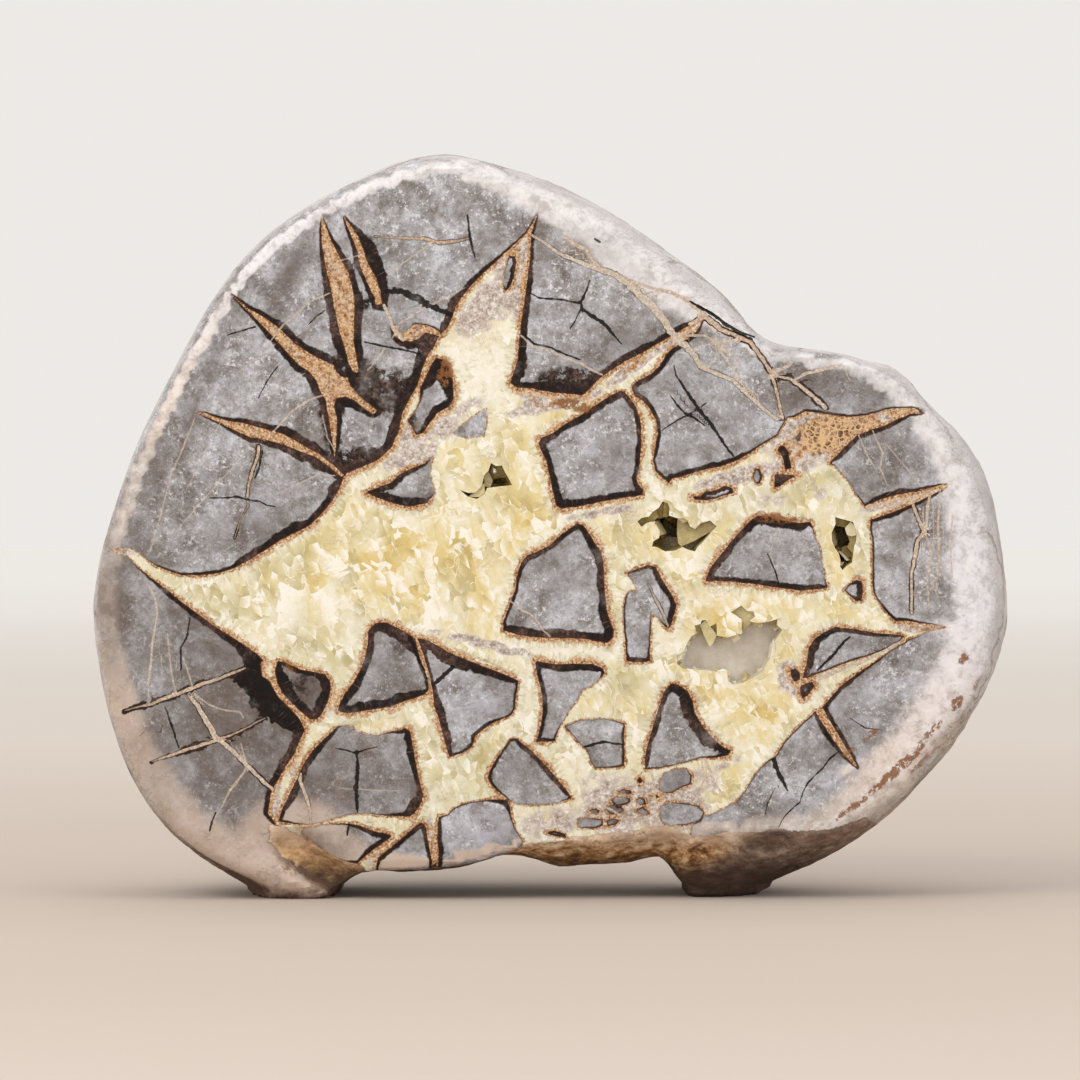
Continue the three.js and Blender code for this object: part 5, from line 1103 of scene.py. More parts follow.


# Calcite: clear blocks seen into, each with painted shade and painted highlight as if lit its own way, and
# white cleavage steps painted as highlights along some block edges
def colourCalcite(node, at):
    bend = node("TexNoise", at.place, 1 / 3, 3.0, 0.55, output=1)
    bend = node("VectorMath SUBTRACT", bend, (0.5, 0.5, 0.5))
    level = node("VectorMath MULTIPLY_ADD", bend, (0.3, 0.3, 0.3), at.place)
    level = node("VectorMath MULTIPLY", level, (1.0, 0.0, 1.0))
    level = node("VectorRotate", level, None, math.radians(24), rotation_type="Y_AXIS")
    level = node("VectorMath MULTIPLY", level, (1.25, 1.0, 0.85))
    _, chipHue, chipPlace = [node("TexVoronoi F1", level, 1 / 2.1, output=number) for number in range(3)]
    chipLean = node("VectorMath SUBTRACT", chipHue, (0.5, 0.5, 0.5))
    jagged = node("VectorMath MULTIPLY_ADD", chipLean, (1.9, 0.0, 1.9), level)
    nearest, blockHue, blockPlace = [
        node("TexVoronoi F1", jagged, 1 / 6.2, distance="MANHATTAN", output=number) for number in range(3)]
    blockLean = node("VectorMath SUBTRACT", blockHue, (0.5, 0.5, 0.5))
    blockTone = node("SeparateColor", blockHue)
    chipTone = node("SeparateColor", chipHue)
    blockPaintedShade = node("VectorMath DOT_PRODUCT", node("VectorMath SUBTRACT", level, blockPlace), blockLean)
    chipPaintedShade = node("VectorMath DOT_PRODUCT", node("VectorMath SUBTRACT", level, chipPlace), chipLean)
    sugary = spots(node, at.place, 4.5, 4.0, 0.6, 0.4, 0.6, 0.25, 1.0)

    warmth = node("Math MULTIPLY_ADD", at.honey, 0.36, node("Math MULTIPLY", blockTone, 0.4))
    warmth = node("Math ADD", warmth, spots(node, at.place, 6, 4.0, 0.6, 0.35, 0.65, -0.1, 0.2))
    warmth = node("Math MULTIPLY_ADD", at.snowy, -0.4, warmth)
    calcite = node("ValToRGB", warmth, stops=[
        (0.0, "#efe9d2"), (0.22, "#ece2bd"), (0.45, "#ebdca9"), (0.7, "#e6cf8c"), (1.0, "#d6b768")])
    clearTone = node("Mix RGBA", chipTone, "#b3ad83", "#e0dab6")

    # painted shade and painted highlight: each block and chip turns darker or lighter along a slope of its
    # own, as if its facets caught the light
    shade = node("Math MULTIPLY", node("Math MULTIPLY", chipPaintedShade, 0.6), sugary)
    shade = node("Math MULTIPLY_ADD", blockPaintedShade, 0.17, shade)
    chipShade = node("Math MULTIPLY", sugary, 0.3)
    shade = node("Math MULTIPLY_ADD", node("Math SUBTRACT", chipTone, 0.5), chipShade, shade)
    fine = node("Math SUBTRACT", node("TexNoise", at.place, 1 / 0.7, 4.0, 0.65), 0.5)
    shade = node("Math MULTIPLY_ADD", fine, 0.5, shade)
    # white cleavage steps: a painted highlight along some of the block edges
    second = node("TexVoronoi F2", jagged, 1 / 6.2, distance="MANHATTAN")
    step = node("MapRange SMOOTHSTEP", node("Math SUBTRACT", second, nearest), 0.0, 0.05, 1.0, 0.0)
    step = node("Math MULTIPLY", step, spots(node, at.place, 2.6, 3.0, 0.6, 0.47, 0.56, 0.0, 0.85))
    snow = node("Math MULTIPLY", at.snowy, spots(node, at.place, 0.9, 5.0, 0.75, 0.4, 0.6))

    # small crystals stand square on the aragonite
    onEdge = node("Math MULTIPLY", at.distance, 0.1)
    teeth = node("CombineXYZ", node("Math MULTIPLY", at.along, 0.75), onEdge, 0.0)
    past = node("Math SUBTRACT", at.edge, liningWidth(node, at))
    reach = node("Math MULTIPLY_ADD", node("TexNoise", teeth, 1.0, 2.0, 0.5), -4.4, past)
    toothTone = node("ValToRGB", node("TexNoise", teeth, 2.2, 3.0, 0.6), stops=[
        (0.35, "#bdb896"), (0.5, "#e2dfc4"), (0.65, "#fbf8ea")])
    return layOver(node, calcite, [
        (node("Math MULTIPLY", at.clear, 0.7), clearTone),
        (node("MapRange LINEAR", shade, 0.0, 0.34, 0.0, 0.9), "#fffdf3"),
        (node("MapRange LINEAR", shade, -0.5, -0.05, 0.6, 0.0), "#b5a469"),
        (step, "#fffdf4"), (node("Math MULTIPLY", snow, 0.7), "#fbf8ec"),
        (node("MapRange SMOOTHSTEP", reach, -1.9, -0.9, 0.7, 0.0), toothTone)])


# How far a point lies from a line, whose course wanders a little
def reachOf(node, at, offX, offZ):
    sway = [node("Math SUBTRACT", node("TexNoise", at.place, 1 / size, 3.0, 0.6), 0.5) for size in (1.6, 1.9)]
    awayX = node("Math MULTIPLY_ADD", sway[0], 0.35, offX)
    awayZ = node("Math MULTIPLY_ADD", sway[1], 0.35, offZ)
    return node("VectorMath LENGTH", node("CombineXYZ", awayX, 0.0, awayZ), output=0)


# Healed veins and open cracks across the limestone, and rust that came in along them
def colourVeins(node, at, face, inStone):
    veinOff = reachOf(node, at, at.veinX, at.veinZ)
    width = node("Math MULTIPLY", at.veinHalf, spots(node, at.place, 1.4, 3.0, 0.55, 0.3, 0.7, 0.75, 1.35))
    fringe = spots(node, at.place, 6, 4.0, 0.66, 0.35, 0.62, 0.2, 1.5)
    overBorder = node("Math SUBTRACT", veinOff, node("Math MULTIPLY_ADD", at.veinBorder, fringe, width))
    border = node("Math MULTIPLY", node("MapRange SMOOTHSTEP", overBorder, -0.1, 0.12, 1.0, 0.0),
                  node("MapRange SMOOTHSTEP", at.veinBorder, 0.05, 0.2))
    borderTone = node("Mix RGBA", node("TexNoise", at.place, 1 / 0.9, 3.0, 0.6), "#150d0b", "#432c22")
    core = node("MapRange SMOOTHSTEP", node("Math SUBTRACT", veinOff, width), -0.06, 0.07, 1.0, 0.0)
    core = node("Math MULTIPLY", core, node("MapRange SMOOTHSTEP", at.veinHalf, 0.05, 0.3, 0.5, 1.0))
    fine = node("TexNoise", at.place, 1 / 0.5, 3.0, 0.65)
    pale = node("ValToRGB", fine, stops=[(0.3, "#ada090"), (0.5, "#cbc0b2"), (0.7, "#ebe3d9")])
    tanned = node("ValToRGB", fine, stops=[(0.3, "#9b7149"), (0.5, "#c49b73"), (0.7, "#ecd8bc")])
    crackOff = reachOf(node, at, at.crackX, at.crackZ)
    halfGap = node("Math MULTIPLY", at.crackHalf, spots(node, at.place, 1.2, 3.0, 0.55, 0.3, 0.7, 0.5, 1.4))
    gap = node("MapRange SMOOTHSTEP", node("Math SUBTRACT", crackOff, halfGap), -0.05, 0.08, 0.97, 0.0)
    gap = node("Math MULTIPLY", gap, inStone)
    rust = node("Math MULTIPLY", at.rusty, spots(node, at.place, 1, 5.0, 0.74, 0.34, 0.57))
    rustTone = node("Mix RGBA", node("TexNoise", at.place, 1 / 0.8, 4.0, 0.65), "#4a260f", "#b0753f")
    face = layOver(node, face, [
        (node("Math MULTIPLY", border, inStone), borderTone),
        (core, node("Mix RGBA", at.veinTan, pale, tanned)), (gap, "#110c0b"),
        (node("MapRange SMOOTHSTEP", rust, 0.25, 0.6, 0.0, 0.9), rustTone)])
    return face, gap


# Rind: a chalky crust round the sides and behind, ochre where clay clings, with veins that end there
def colourRind(node, at):
    chalk = node("TexNoise", at.place, 1 / 7, 6.0, 0.74)
    rind = node("ValToRGB", chalk, stops=[
        (0.35, "#91867d"), (0.44, "#aaa097"), (0.52, "#beb4ac"), (0.6, "#cdc5bf"), (0.7, "#ded8d4")])
    pores = spots(node, at.place, 0.9, 5.0, 0.75, 0.5, 0.62, 0.0, 0.6)
    grime = spots(node, at.place, 16, 6.0, 0.75, 0.52, 0.66, 0.0, 0.55)
    clay = spots(node, at.place, 30, 7.0, 0.72, 0.53, 0.64, 0.0, 0.6)
    wander = node("TexNoise", at.place, 1 / 9, 4.0, 0.65, output=1)
    bent = node("VectorMath MULTIPLY_ADD", wander, (16.0, 16.0, 16.0), at.place)
    seam = node("TexVoronoi DISTANCE_TO_EDGE", bent, 1 / 34)
    seamTone = node("Mix RGBA", node("TexNoise", at.place, 1 / 1.1, 4.0, 0.7), "#6d4a2f", "#e2cdac")
    rind = layOver(node, rind, [
        (pores, "#7d7066"), (grime, node("Mix RGBA", chalk, "#5d4c40", "#ab9480")),
        (clay, node("Mix RGBA", chalk, "#8d6a49", "#cfb192")),
        (node("MapRange SMOOTHSTEP", seam, 0.008, 0.03, 0.9, 0.0), seamTone)])
    groove = node("MapRange SMOOTHSTEP", seam, 0.0, 0.03, -0.5, 0.0)
    return rind, node("Math MULTIPLY_ADD", groove, 1.0, chalk)


# Broken, clay-stained lower edge: layers of ochre, creamier above, nearly black underneath, where the black
# is painted shade; the left recess is painted brighter to lift it out of its shade
def colourClay(node, at, clayNoise):
    clay = node("ValToRGB", clayNoise, stops=[
        (0.36, "#6a4629"), (0.44, "#a3733f"), (0.51, "#c59560"), (0.58, "#deba89"), (0.68, "#f3e6d0")])
    # painted light: the left recess faces down into shade, so its clay is painted brighter
    paintedLightLeft = node("MapRange SMOOTHSTEP", at.across, -45.0, -30.0, 0.4, 0.0)
    cream = node("Math MULTIPLY_ADD", clayNoise, 8.0, at.height)
    right = node("Math MULTIPLY_ADD", at.height, -1.0, at.across)
    smooth = node("ValToRGB", clayNoise, stops=[(0.36, "#6d594c"), (0.5, "#8a7364"), (0.66, "#ab9686")])
    # painted shade: nearly black low down, starting a little lower on the left
    shadeHeight = node("Math ADD", at.height, node("MapRange SMOOTHSTEP", at.across, -45.0, -30.0, 1.5, 0.0))
    low = node("Math MULTIPLY_ADD", clayNoise, 6.0, shadeHeight)
    return layOver(node, clay, [
        (paintedLightLeft, "#ffd9ab"), (node("MapRange SMOOTHSTEP", cream, 12.5, 17.5, 0.0, 0.7), "#f0dac5"),
        (node("MapRange SMOOTHSTEP", right, 20.0, 30.0), smooth),
        (node("MapRange SMOOTHSTEP", low, 7.5, 14.5, 0.92, 0.0),
         node("Mix RGBA", clayNoise, "#1d1310", "#665046"))])


# Limestone, aragonite and calcite, sawn and polished flat: a soft gloss over depth, and a dull rind
def makePolishedSeptaria():
    material, tree = newMaterial("polishedSeptarianLimestone")
    node = partial(addNode, tree)
    at = readPattern(node)
    inStone = node("MapRange SMOOTHSTEP", at.edge, -0.07, 0.07, 1.0, 0.0)
    stoneTone = colourRims(node, at, colourLimestone(node, at))
    filling = colourAragonite(node, at, colourCalcite(node, at))
    face, gap = colourVeins(node, at, node("Mix RGBA", inStone, filling, stoneTone), inStone)

    laid = node("VectorMath MULTIPLY", at.place, (0.6, 0.7, 1.0))
    clayNoise = node("TexNoise", laid, 0.55, 5.0, 0.68)
    clayTone = colourClay(node, at, clayNoise)
    clayEdge = node("Math MULTIPLY_ADD", node("Math SUBTRACT", clayNoise, 0.5), 0.6, at.broken)
    clay = node("MapRange SMOOTHSTEP", clayEdge, 0.46, 0.53)
    face = node("Mix RGBA", clay, face, clayTone)

    rind, chalk = colourRind(node, at)
    # painted shade: the rind turns nearly black brown towards the ground, where its faces look down away from
    # the light
    undersideShade = node("Math MULTIPLY_ADD", clayNoise, 24.0, at.height)
    undersideShade = node("MapRange SMOOTHSTEP", undersideShade, 16.0, 30.0, 0.9, 0.0)
    clayBehind = node("MapRange SMOOTHSTEP", at.depth, 10.0, 22.0, clay, 0.0)
    # the rind next to the face is paler higher up: partly bleaching, partly painted highlight where the upper
    # rim catches the light from above
    bleachAndHighlight = node("Math MULTIPLY", node("MapRange SMOOTHSTEP", at.depth, 5.0, 22.0, 0.75, 0.0),
                  node("MapRange SMOOTHSTEP", at.height, 22.0, 50.0))
    rind = layOver(node, rind, [
        (undersideShade, node("Mix RGBA", clayNoise, "#241813", "#93705a")), (clayBehind, clayTone),
        (bleachAndHighlight, node("Mix RGBA", chalk, "#b3adad", "#f4f2f4"))])
    uneven = node("Math SUBTRACT", node("TexNoise", at.place, 1 / 5, 4.0, 0.6), 0.5)
    toRind = node("MapRange SMOOTHSTEP", node("Math MULTIPLY_ADD", uneven, 8.0, at.depth), 0.4, 4.5)
    skin = node("Mix RGBA", toRind, face, rind)

    rough = node("Math MULTIPLY_ADD", inStone, 0.08, node("Math MULTIPLY_ADD", uneven, 0.12, 0.3))
    dull = node("Math MAXIMUM", toRind, clay)
    rough = node("Math MAXIMUM", rough, node("Math MULTIPLY", dull, 0.86))
    fine = node("TexNoise", at.place, 1 / 2.2, 5.0, 0.72)
    bumps = node("Math MULTIPLY_ADD", chalk, 2.0, node("Math MULTIPLY", fine, 1.6))
    relief = node("Math MULTIPLY_ADD", gap, -0.2, node("Math MULTIPLY", dull, bumps))
    finishMaterial(tree, skin, rough, relief, 0.0008, **{"Specular IOR Level": 0.2})
    return material


# Widths of the pale polished band round the face, by direction from its middle, in degrees and mm.
# At its outer edge the band is as strong as full says, and it widens for each mm round the rim
paleBand = {
    "middle": (0, 70), "full": 1.6, "widen": 0.7, "roundRim": 4,
    "turns": [
        0, 10, 22, 35, 46, 56, 64, 78, 91, 105, 125, 150, 180, 205, 225, 236, 250, 300, 311, 325, 345, 360],
    "widths": [4, 2.2, 1.2, 0.8, 0.9, 2.4, 4, 4, 2.4, 1, 0.6, 0.5, 1, 3, 5, 3.5, 0.4, 0.4, 2.4, 5, 5.5, 4],
}


# How strong the pale band is at each point
def paleAt(points, places):
    middle = np.array(paleBand["middle"])
    turns = np.degrees(np.arctan2(places[:, 1] - middle[1], places[:, 0] - middle[0])) % 360
    widths = np.interp(turns, paleBand["turns"], paleBand["widths"])
    behind = np.clip((points[:, 1] - faceY) * 1000, 0, paleBand["roundRim"])
    widths = widths * (1 + behind * paleBand["widen"])
    rimReach = np.array([rimTree.find(Vector(point))[2] for point in points]) * 1000
    return np.clip(paleBand["full"] - rimReach / widths, 0, paleBand["full"])


# Colours of a piece of the face are worked out at its points, from the pattern's outlines
def storeAttribute(mesh, name, *columns):
    attribute = mesh.attributes.new(name, "FLOAT_VECTOR", "POINT")
    attribute.data.foreach_set("vector", np.column_stack(columns).astype(np.float32).ravel())


# Past the reach given, in mm, only the direction of a line is kept, so that the middle between two
# lines, where their directions cancel out, doesn't look near to either
def storeLine(mesh, name, places, lines, width, reach):
    offsets, values = nearestLine(places, lines, width, less=0)
    length = np.maximum(np.hypot(offsets[:, 0], offsets[:, 1]), 1e-6)
    far = length > reach
    farAway = 9  # mm, past the width of every line
    offsets[far] *= (farAway / length[far])[:, None]
    storeAttribute(mesh, name, offsets[:, 0], offsets[:, 1], values[:, 0])
    return values


def storePattern(piece):
    mesh = piece.data
    points = pointsOf(mesh)
    places = faceMm(points)
    storeAttribute(mesh, "wall", *wallAt(places))
    for name, parts in (("tone", ("honey", "clear", "snowy")), ("stain", ("smoky", "misty", "charred"))):
        storeAttribute(mesh, name, *[patchAt(places, patches[part]) for part in parts])
    sandy = patchAt(places, patches["sandy"])
    for spike in spikes:
        sandy[isInside(places, spike)] = 1.2
    storeAttribute(mesh, "grit", sandy, patchAt(places, patches["rusty"]), paleAt(points, places))
    values = storeLine(mesh, "vein", places, veinLines, 3, 2.2)
    storeAttribute(mesh, "veinLook", values[:, 1], values[:, 2], brokenAt(places))
    storeLine(mesh, "crack", places, crackLines, 1, 1.6)


# Calcite that lines a hollow: from brown in its depths, where the brown is painted shade, to white at the
# plates' edges, clean and glassy
def makeHollowCalcite(name, tone, stops, rough, relief):
    material, tree = newMaterial(name)
    node = partial(addNode, tree)
    place = node("VectorMath SCALE", node("TexCoord", output=3), 1000.0)
    tint = node("Attribute", attribute_name="tint", output=2)
    cloud = node("Math SUBTRACT", node("TexNoise", place, 1 / 2.6, 5.0, 0.6), 0.5)
    mixed = node("Math MULTIPLY_ADD", cloud, 0.55, node("Math ADD", tint, tone))
    colour = node("ValToRGB", mixed, stops=stops)
    colour = node("Mix RGBA", spots(node, place, 0.6, 4.0, 0.7, 0.6, 0.68, 0.0, 0.4), colour, "#fbf7ea")
    roughness = node("Math MULTIPLY_ADD", cloud, 0.15, rough)
    finishMaterial(tree, colour, roughness, node("TexNoise", place, 1 / 0.8, 3.0, 0.6), relief)
    return material


calciteStops = [
    (0.05, "#2c2212"), (0.25, "#75602c"), (0.48, "#ab965a"), (0.68, "#d6ca98"), (0.85, "#efe8cb"),
    (1.0, "#fbf9f0")]
floorStops = [(0.3, "#b5a993"), (0.5, "#d0c7b9"), (0.7, "#e9e3dc")]
septaria = makePolishedSeptaria()
crystalCalcite = makeHollowCalcite("calciteCrystals", 0.0, calciteStops, 0.2, 0.00005)
wallCalcite = makeHollowCalcite("calciteWalls", 0.42, calciteStops, 0.42, 0.0004)
floorCalcite = makeHollowCalcite("smoothCalciteFloor", 0.5, floorStops, 0.3, 0.0001)


# What is cut away for a hollow: upright at the mouth, then narrower down to its floor
def hollowLevels(depth, floor):
    return [(-0.8, 1.0), (0.3, 1.0), (depth * 0.45, (1 + floor) / 2), (depth, floor)]


cuts = [(stone["openCrack"], stone["crackLevels"], septaria)]
for name, hollow in hollows.items():
    finish = floorCalcite if name == "shallow" else wallCalcite
    cuts.append((hollow["mouth"], hollowLevels(hollow["depth"], hollow["floor"]), finish))
noduleStone.data.materials.append(septaria)
for outline, levels, finish in cuts:
    cutter = addPrism("cutter", outline, levels)
    cutter.data.materials.append(finish)
    cutAway(noduleStone, cutter)
print("crack and hollows cut:", len(noduleStone.data.polygons), "faces")
storePattern(noduleStone)
selectOnly(noduleStone)
bpy.ops.object.shade_smooth_by_angle(angle=math.radians(34))
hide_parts("nodule")
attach(noduleStone, "root")
print("pattern laid on the face")


# A block of calcite among the others of a lining
def addCrystal(x, z, depth, size, shape, lean):
    deselectAll()
    bpy.ops.mesh.primitive_cube_add(size=size / 1000, location=onFace(x, z, depth), scale=shape,
                                    rotation=[math.radians(angle) for angle in lean])
    crystal = bpy.context.object
    setPlace(crystal)
    return crystal


# A cleaved plate of calcite: its outline, how deep its face lies, its thickness and its two leans
def addPlate(outline, depth, thick, leanX, leanZ):
    plate = addPrism("plate", outline, [(depth, 1.0), (depth + thick, 0.9)])
    middle = onFace(*np.mean(np.array(outline), axis=0), depth)
    selectOnly(plate)
    for axis, angle in (("X", leanX), ("Z", leanZ)):
        bpy.ops.transform.rotate(value=math.radians(angle), orient_axis=axis, center_override=middle)
    setPlace(plate)
    return plate


def storeTint(crystal, tint):
    attribute = crystal.data.attributes.new("tint", "FLOAT", "POINT")
    attribute.data.foreach_set("value", [tint] * len(crystal.data.vertices))


# Blocks between the plates: their proportions, their leans in degrees, how deep they sink and how
# near to the face they may come in mm, and how much painted shade darkens them down to the floor
blocks = {
    "shape": [(0.6, 1.2), (0.5, 1.0), (0.7, 1.5)], "lean": [(-40, 40), (0, 180), (-40, 40)],
    "sink": (0.2, 0.8), "below": 0.12, "depthShade": 0.25,
}


# Plates given one by one under the mouth of each hollow, and small blocks all round its wall below
def lineHollow(lining):
    hollow = hollows[lining["hollow"]]
    rng = random.Random(lining["seed"])
    mouth = [np.array(knot) for knot in hollow["mouth"]]
    middle = np.mean(mouth, axis=0)
    crystals = []
    for tint, depth, thick, leanX, leanZ, outline in lining["plates"]:
        crystals.append(addPlate(outline, depth, thick, leanX, leanZ))
        storeTint(crystals[-1], tint)
    for start, end in zip(mouth, mouth[1:] + mouth[:1]):
        steps = max(1, round(float(np.hypot(*(end - start))) / lining["gap"]))
        for step in range(steps):
            spot = start + (end - start) * (step + rng.random()) / steps
            for level in lining["levels"]:
                size = rng.uniform(*lining["size"])
                place = middle + (spot - middle) * (1.02 - (1 - hollow["floor"]) * level)
                shape = [rng.uniform(*span) for span in blocks["shape"]]
                lean = [rng.uniform(*span) for span in blocks["lean"]]
                depth = hollow["depth"] * level + rng.uniform(*blocks["sink"]) + size * 0.4
                crystals.append(addCrystal(*place, depth, size, shape, lean))
                # deeper blocks get a darker tint: painted shade of the hollow
                storeTint(crystals[-1], rng.uniform(*lining["tints"]) - blocks["depthShade"] * level)
    piece = joinAll(crystals)
    piece.name = piece.data.name = lining["name"]
    points = pointsOf(piece.data)
    points[:, 1] = np.maximum(points[:, 1], faceY + blocks["below"] / 1000)
    piece.data.vertices.foreach_set("co", points.ravel())
    piece.data.update()
    piece.data.materials.clear()
    piece.data.materials.append(crystalCalcite)
    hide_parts(hollow["node"])
    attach(piece, "root")


# Plates are given as tint, depth, thickness, the two leans, and the outline in mm. The deeper plates' darker
# tints are painted shade
linings = [
    {
        "name": "smallHollowCrystals", "hollow": "small", "seed": 3, "gap": 1.6, "levels": (0.5,),
        "size": (0.7, 1.4), "tints": (0.3, 0.6), "plates": [
            (0.5, 1.6, 3, 12, -18, [
                (-13.2, 83.6), (-12.2, 84.6), (-11.4, 82.4), (-12.1, 81), (-13.2, 81.4)]),
            (0.34, 2.2, 3, -22, 6, [
                (-12.2, 84), (-11.3, 86), (-9.1, 85.5), (-8.4, 84), (-8.2, 83), (-10, 83), (-11.8, 82.6)]),
            (1.0, 1.0, 1, 10, 20, [(-11.5, 85), (-11, 84.9), (-10.9, 84.2), (-11.3, 84)]),
            (0.62, 0.5, 2, 8, 10, [(-15, 80.4), (-13.2, 82), (-13, 80), (-14, 79.2), (-16.4, 79.2)]),
        ]},
    {
        "name": "wideHollowCrystals", "hollow": "wide", "seed": 5, "gap": 2.0, "levels": (0.4, 0.75),
        "size": (1.0, 2.2), "tints": (0.25, 0.55), "plates": [
            (1.0, 0.4, 2.6, 10, -16, [
                (18.2, 72.7), (20.2, 73.9), (21.1, 74.5), (21, 72.9), (20.6, 71.2), (19.8, 69.9),
                (18.6, 71)]),
            (0.64, 1.5, 3, -6, 22, [
                (21, 74.4), (21.7, 73.2), (22.5, 71.6), (21.4, 71.2), (20.2, 70.6), (20.6, 71.6),
                (20.9, 73)]),
            (0.5, 1.5, 3, -20, -14, [
                (17.2, 75), (18.6, 72.9), (20.8, 74.3), (21.8, 75.3), (21.2, 76.6), (19.6, 76)]),
            (0.4, 1.9, 4, -26, 10, [
                (21.2, 76.6), (21.6, 77.6), (22.6, 78.6), (23, 76.4), (22.7, 75), (21.8, 74.7),
                (20.6, 75.2)]),
            (0.46, 1.2, 4, -22, -16, [(22.6, 78.5), (23.6, 78.2), (24.2, 75.6), (23.4, 75), (22.8, 75.2)]),
            (0.53, 1.7, 5, 5, 9, [
                (25.5, 75.2), (25.4, 72), (25.7, 69.9), (26.3, 69.3), (28.9, 70.4), (31.7, 72), (33.4, 73),
                (32.6, 74.2), (31.8, 74.6), (30.6, 74.2), (28.6, 73.2), (27.8, 75.2)]),
            (0.72, 0.9, 3, -16, 8, [(25.4, 75.6), (27.8, 75.6), (27.7, 74.3), (26.6, 74), (25.6, 74.8)]),
            (0.2, 5.0, 4, 14, 4, [
                (20.4, 70.4), (22.2, 71.4), (25.6, 71.2), (26, 68.4), (23, 68), (20.6, 68.8)]),
            (0.24, 3.6, 4, 10, -12, [
                (26.4, 69.6), (29.4, 70.8), (30.6, 71.8), (32, 71.6), (30.6, 69.8), (29.6, 68), (27, 68.4)]),
        ]},
    {
        "name": "tallHollowCrystals", "hollow": "tall", "seed": 8, "gap": 1.7, "levels": (0.35, 0.75),
        "size": (0.9, 1.8), "tints": (0.2, 0.5), "plates": [
            (0.3, 1.4, 4, -26, 4, [(56.9, 75.4), (60.8, 74.4), (59.2, 73), (57.2, 73.4)]),
            (0.74, 0.9, 3, -8, 14, [
                (59, 73), (60.2, 74.3), (61.2, 73.2), (61.4, 71.6), (60.3, 71.3), (59.4, 71.6)]),
            (0.48, 1.7, 4, 8, 20, [
                (59.5, 71.6), (61.4, 71.7), (61.2, 69.8), (60.8, 67.8), (59.5, 69.2), (60, 70.3)]),
            (0.36, 3.2, 4, 14, -8, [(58.6, 69.2), (59.6, 69.6), (60.6, 67.4), (59.6, 66.8), (58.4, 67.7)]),
            (0.9, 2.4, 1.2, 6, 30, [(57.6, 68.3), (58, 68.4), (60, 66.6), (59.6, 66.4)]),
            (0.4, 3.0, 3, 10, -24, [(56.2, 72), (57.4, 72.6), (57.6, 70), (56.9, 69), (56.3, 70)]),
            (0.85, 2.6, 1, 20, 4, [(58, 66), (58.9, 66.3), (58.8, 65.6), (58.2, 65.2)]),
        ]},
    {
        "name": "shallowHollowCrystals", "hollow": "shallow", "seed": 12, "gap": 2.4, "levels": (0.3,),
        "size": (0.8, 1.6), "tints": (0.6, 0.95), "plates": [
            (0.66, 0.7, 2.6, -7, 16, [
                (30, 53.6), (30.8, 51.4), (31.9, 49.1), (32.6, 49.9), (33.4, 51.6), (32.1, 53.3),
                (31.2, 54.6)]),
            (0.5, 1.6, 2.4, -20, -8, [(28.8, 53.8), (30.3, 53.9), (30.6, 52), (29.2, 51.6)]),
            (0.52, 1.4, 2.4, -20, 12, [(31.9, 53.6), (33.6, 54.3), (33.6, 51.6), (32.8, 51.6)]),
            (0.66, 1.1, 2.6, -12, 6, [
                (36, 56.2), (38.2, 57.7), (39.6, 56.5), (40.9, 56.5), (41.2, 55.2), (38.8, 52.4),
                (38.2, 55)]),
            (0.5, 1.3, 2.4, -18, -8, [(43.4, 54.4), (45.7, 55), (45.6, 53.6), (46.8, 52.6), (44.8, 53)]),
            (0.95, 0.6, 2.6, 14, 4, [(34.6, 44.9), (35.4, 44.5), (35.7, 42.4), (33.6, 43.4), (33.4, 44.4)]),
            (0.9, 0.5, 2.8, 16, -14, [(44.8, 50.6), (46, 50), (45.8, 47.6), (43.8, 46.4), (44.4, 48.6)]),
            (0.92, 0.5, 2.8, 12, 12, [(25, 47.8), (26.8, 48.9), (26.2, 46.8), (25, 46)]),
        ]},
]

for lining in linings:
    lineHollow(lining)
print("hollows lined with crystals")


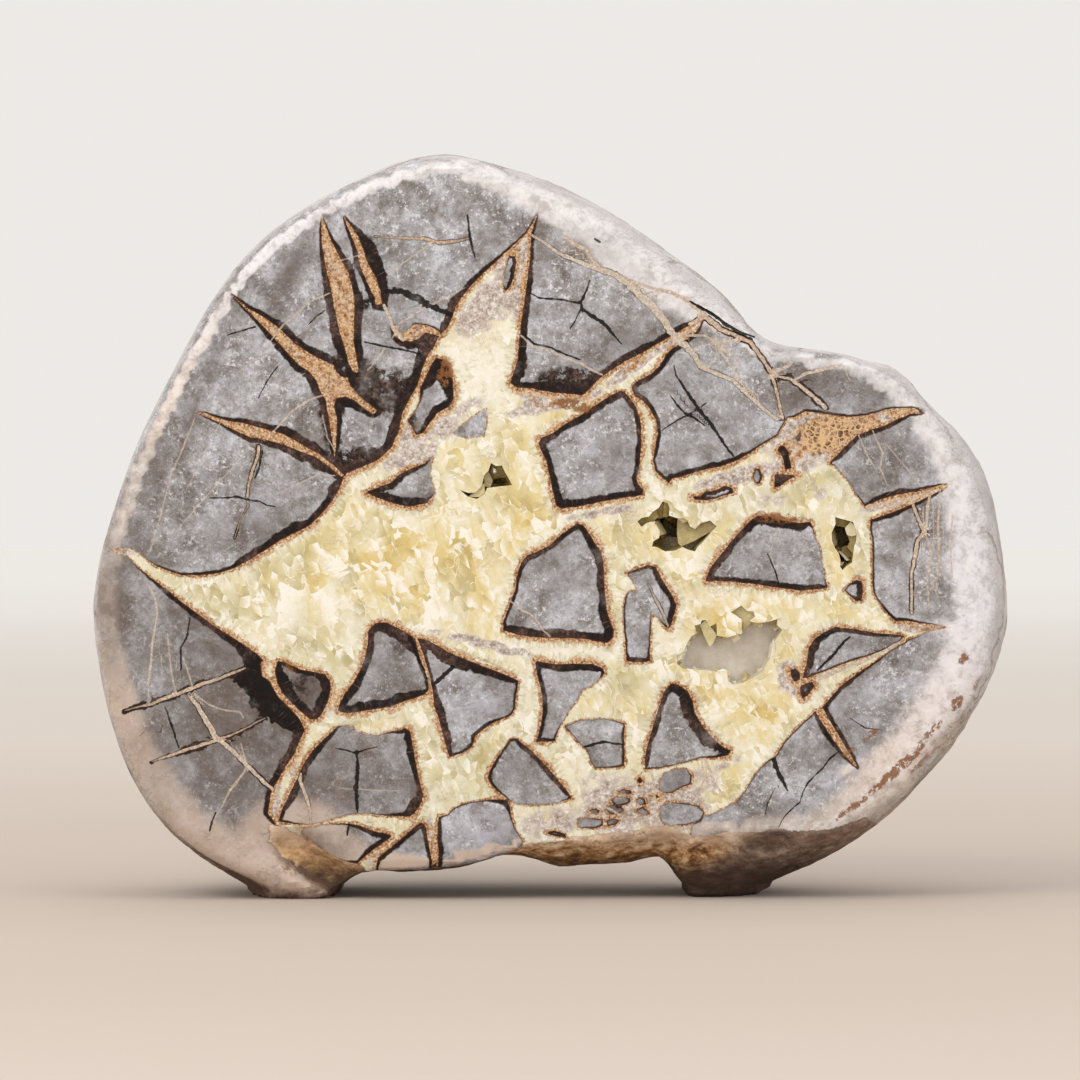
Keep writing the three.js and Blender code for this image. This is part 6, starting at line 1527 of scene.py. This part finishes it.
# A pale room: floor in m, a light from each side and one above, and a long lens level with the face
studio = {
    "floor": {
        # the tones are painted light: darker near the stone, lighter far off, where they meet the room's
        # light at the horizon
        "radius": 40, "reach": 8, "paintedLightTones": [
            (0.03, "#c6b9ae"), (0.1, "#dbd1c8"), (0.25, "#ece7e1"), (0.5, "#fbf9f6"), (1.0, "#fffefc")]},
    "lights": [
        ("softKey", (-0.75, -0.85, 1.05), (0, 0, 0.07), (0.7, 0.7), 7.0, "#fffaf4"),
        ("softFill", (0.95, -0.75, 0.55), (0, 0, 0.07), (0.8, 0.8), 2.1, "#f4f7ff"),
        ("topSheet", (0.0, 0.15, 1.3), (0, 0, 0.05), (1.4, 1.0), 2.8, "#ffffff")],
    "room": {"Color": linear("#f6f3ef"), "Strength": 0.92},
    "camera": {"lens": 166.7, "sensor_width": 36, "clip_start": 0.01},
    "cameraPlace": (-0.00265, faceY - 1.0, 0.072),
}


def buildFloor(radius, reach, paintedLightTones):
    deselectAll()
    bpy.ops.mesh.primitive_circle_add(vertices=96, radius=radius, fill_type="NGON")
    floor = bpy.context.object
    floor.name = "paleFloor"
    material, tree = newMaterial("matteCardboard")  # board, dull, so it only takes a soft shadow; its tones, darker near the stone and lighter far off, are painted light
    node = partial(addNode, tree)
    place = node("TexCoord", output=3)
    away = node("VectorMath LENGTH", place, output=0)
    tone = node("ValToRGB", node("Math MULTIPLY", away, 1 / reach), stops=paintedLightTones)
    shade = node("TexNoise", place, 3.0, 2.0, 0.5)
    finishMaterial(tree, tone, node("Math MULTIPLY_ADD", shade, 0.1, 0.85), shade, 0.0001)
    floor.data.materials.append(material)


def addLight(name, place, aim, size, power, tone):
    light = bpy.data.lights.new(name, "AREA")
    light.shape, light.size, light.size_y = "RECTANGLE", size[0], size[1]
    light.energy, light.color = power, linear(tone)[:3]
    lamp = bpy.data.objects.new(name, light)
    lamp.location = place
    lamp.rotation_euler = (Vector(aim) - Vector(place)).to_track_quat("-Z", "Y").to_euler()
    bpy.context.scene.collection.objects.link(lamp)


def lightStudio():
    for light in studio["lights"]:
        addLight(*light)
    world = bpy.data.worlds.new("paleRoom")
    bpy.context.scene.world = world
    world.use_nodes = True
    for name, value in studio["room"].items():
        world.node_tree.nodes["Background"].inputs[name].default_value = value
    bpy.context.scene.view_settings.view_transform = "Standard"


def placeCamera():
    camera = bpy.data.cameras.new("faceCamera")
    for name, value in studio["camera"].items():
        setattr(camera, name, value)
    holder = bpy.data.objects.new("faceCamera", camera)
    holder.location = studio["cameraPlace"]
    holder.rotation_euler = (math.radians(90), 0, 0)
    bpy.context.scene.collection.objects.link(holder)
    bpy.context.scene.camera = holder


buildFloor(**studio["floor"])
lightStudio()
placeCamera()
print("floor, lights and camera set")
